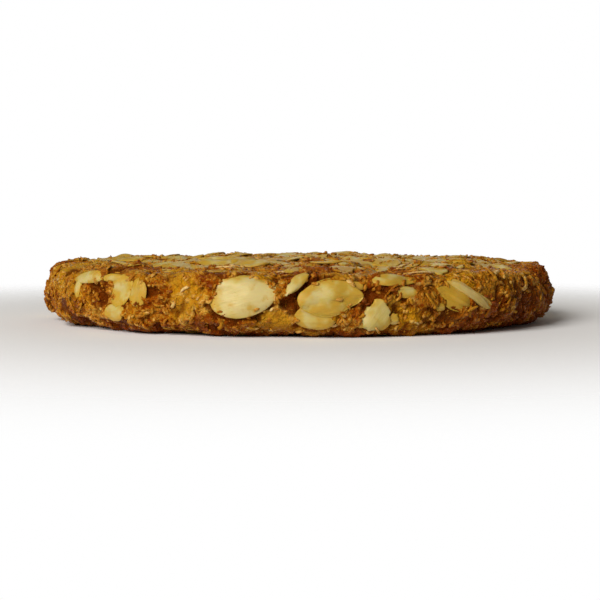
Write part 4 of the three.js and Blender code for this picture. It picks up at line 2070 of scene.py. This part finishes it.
@dataclass(frozen=True)
class CoconutFinish(TonedFinish):
    """Toasted coconut, paler than crumb."""

    name: str = "toasted_coconut"
    brown: Colour = (0.28, 0.09, 0.006)
    golden: Colour = (0.44, 0.2, 0.014)
    pale: Colour = (0.7, 0.48, 0.19)


@dataclass(frozen=True)
class GrainFinish(TonedFinish):
    """Grains, lumps and fibres of crumb, glossier than the skin that they sit on."""

    name: str = "crumb_grain"
    mirror: float = 0.35
    mirror_tint: Colour = (1.0, 0.75, 0.4)


@dataclass(frozen=True)
class Lamp:
    """A soft lamp: where it stands and how wide it is, in millimetres, its power in watts and its colour."""

    name: str
    place: Point
    width: float
    power: float
    colour: Colour


@dataclass(frozen=True)
class Studio:
    """A plain pale floor, soft light and the camera."""

    eye: Point = (-3.0, -231.0, 18.0)
    target: Point = (0.0, 0.0, 2.9)
    lens: float = 83.0
    floor_reach: float = 130.0
    floor_sides: int = 64
    floor_solid: float = 0.34
    floor_colour: Colour = (0.93, 0.94, 0.96)
    floor_roughness: float = 0.9
    sky_light: float = 0.1
    sky_colour: Colour = (1.0, 0.95, 0.88)
    seen_light: float = 1.0
    seen_colour: Colour = (1.0, 1.0, 1.0)
    lamps: tuple[Lamp, ...] = (
        Lamp("key", (-370, -560, 400), 420, 6.75, (1, 0.96, 0.9)),
        Lamp("fill", (520, -360, 200), 420, 0.06, (1, 0.7, 0.45)),
        Lamp("back", (120, 760, 230), 480, 0.9, (1, 0.93, 0.8)),
    )

    def _aim(self, thing: bpy.types.Object, place: Point) -> None:
        """Stands a lamp or camera at a place, facing the target."""
        thing.location = Vector(place) * MM
        thing.rotation_euler = (Vector(self.target) - Vector(place)).to_track_quat("-Z", "Y").to_euler()
        bpy.context.scene.collection.objects.link(thing)

    def camera(self) -> None:
        """Makes the camera, without depth of field."""
        data = bpy.data.cameras.new("camera")
        data.lens = self.lens
        data.clip_start = MM
        camera = bpy.data.objects.new("camera", data)
        self._aim(camera, self.eye)
        bpy.context.scene.camera = camera

    def light(self) -> None:
        """Makes the lamps and the pale surroundings."""
        for lamp in self.lamps:
            data = bpy.data.lights.new(lamp.name, "AREA")
            data.size = lamp.width * MM
            data.energy = lamp.power
            data.color = lamp.colour
            self._aim(bpy.data.objects.new(lamp.name, data), lamp.place)
        world = bpy.data.worlds.new("surroundings")
        bpy.context.scene.world = world
        world.use_nodes = True
        bench = Bench(world.node_tree)
        lighting = world.node_tree.nodes["Background"]
        seen = bench.add("Background")
        skies = ((lighting, self.sky_colour, self.sky_light), (seen, self.seen_colour, self.seen_light))
        for sky, colour, strength in skies:
            sky.inputs["Color"].default_value = (*colour, 1)
            sky.inputs["Strength"].default_value = strength
        both = bench.add("MixShader")
        bench.feed(both.inputs[0], bench.add("LightPath").outputs["Is Camera Ray"])
        bench.feed(both.inputs[1], lighting.outputs[0])
        bench.feed(both.inputs[2], seen.outputs[0])
        bench.feed(world.node_tree.nodes["World Output"].inputs[0], both.outputs[0])

    def floor(self) -> None:
        """Makes the floor that the biscuit lies on, fading out to the pale surroundings."""
        reach = self.floor_reach * MM
        shape = bmesh.new()
        bmesh.ops.create_circle(shape, cap_ends=True, radius=reach, segments=self.floor_sides)
        mesh = bpy.data.meshes.new("floor")
        shape.to_mesh(mesh)
        shape.free()
        material = bpy.data.materials.new("pale_floor")
        material.use_nodes = True
        shader = material.node_tree.nodes["Principled BSDF"]
        shader.inputs["Base Color"].default_value = (*self.floor_colour, 1)
        shader.inputs["Roughness"].default_value = self.floor_roughness
        bench = Bench(material.node_tree)
        away = bench.add("VectorMath", operation="LENGTH")
        bench.feed(away.inputs[0], bench.add("TexCoord").outputs["Object"])
        fading = bench.spread(away.outputs["Value"], reach * self.floor_solid, reach, 1, 0)
        bench.feed(shader.inputs["Alpha"], fading)
        mesh.materials.append(material)
        floor = bpy.data.objects.new("floor", mesh)
        bpy.context.scene.collection.objects.link(floor)


def corners(box: tuple[Vector, Vector]) -> list[list[float]]:
    """A box's lowest and highest corners as plain lists."""
    return [list(corner) for corner in box]


def main() -> None:
    """Builds the biscuit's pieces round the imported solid, then the studio."""
    logging.basicConfig(level=logging.INFO, format="%(message)s")
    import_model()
    bpy.context.scene.view_settings.view_transform = "Standard"

    draws = Draws(SEED)
    dough = Dough()
    slab = Slab(SlabSizes(), draws)
    oats = OatFlakes(FlakeSizes(), slab, dough, draws, SEED)
    crumb = CrumbBody(CrumbSizes(), slab, dough)
    effects = Effects()
    grain_look = GrainFinish().material(effects)
    pieces = [
        crumb.build(CrumbFinish().material(effects), oats),
        *oats.build(OatFinish().material(effects)),
        Shreds(COCONUT).build(CoconutFinish().material(effects), crumb),
        Shreds(FIBRES).build(grain_look, crumb),
        CrumbGrains(LUMPS).build(grain_look, crumb),
        CrumbGrains(FINE_GRAINS).build(grain_look, crumb),
    ]
    for piece in pieces:
        LOG.info("%s: %d faces", piece.name, len(piece.data.polygons))

    studio = Studio()
    studio.camera()
    studio.light()
    studio.floor()


if __name__ == "__main__":
    main()
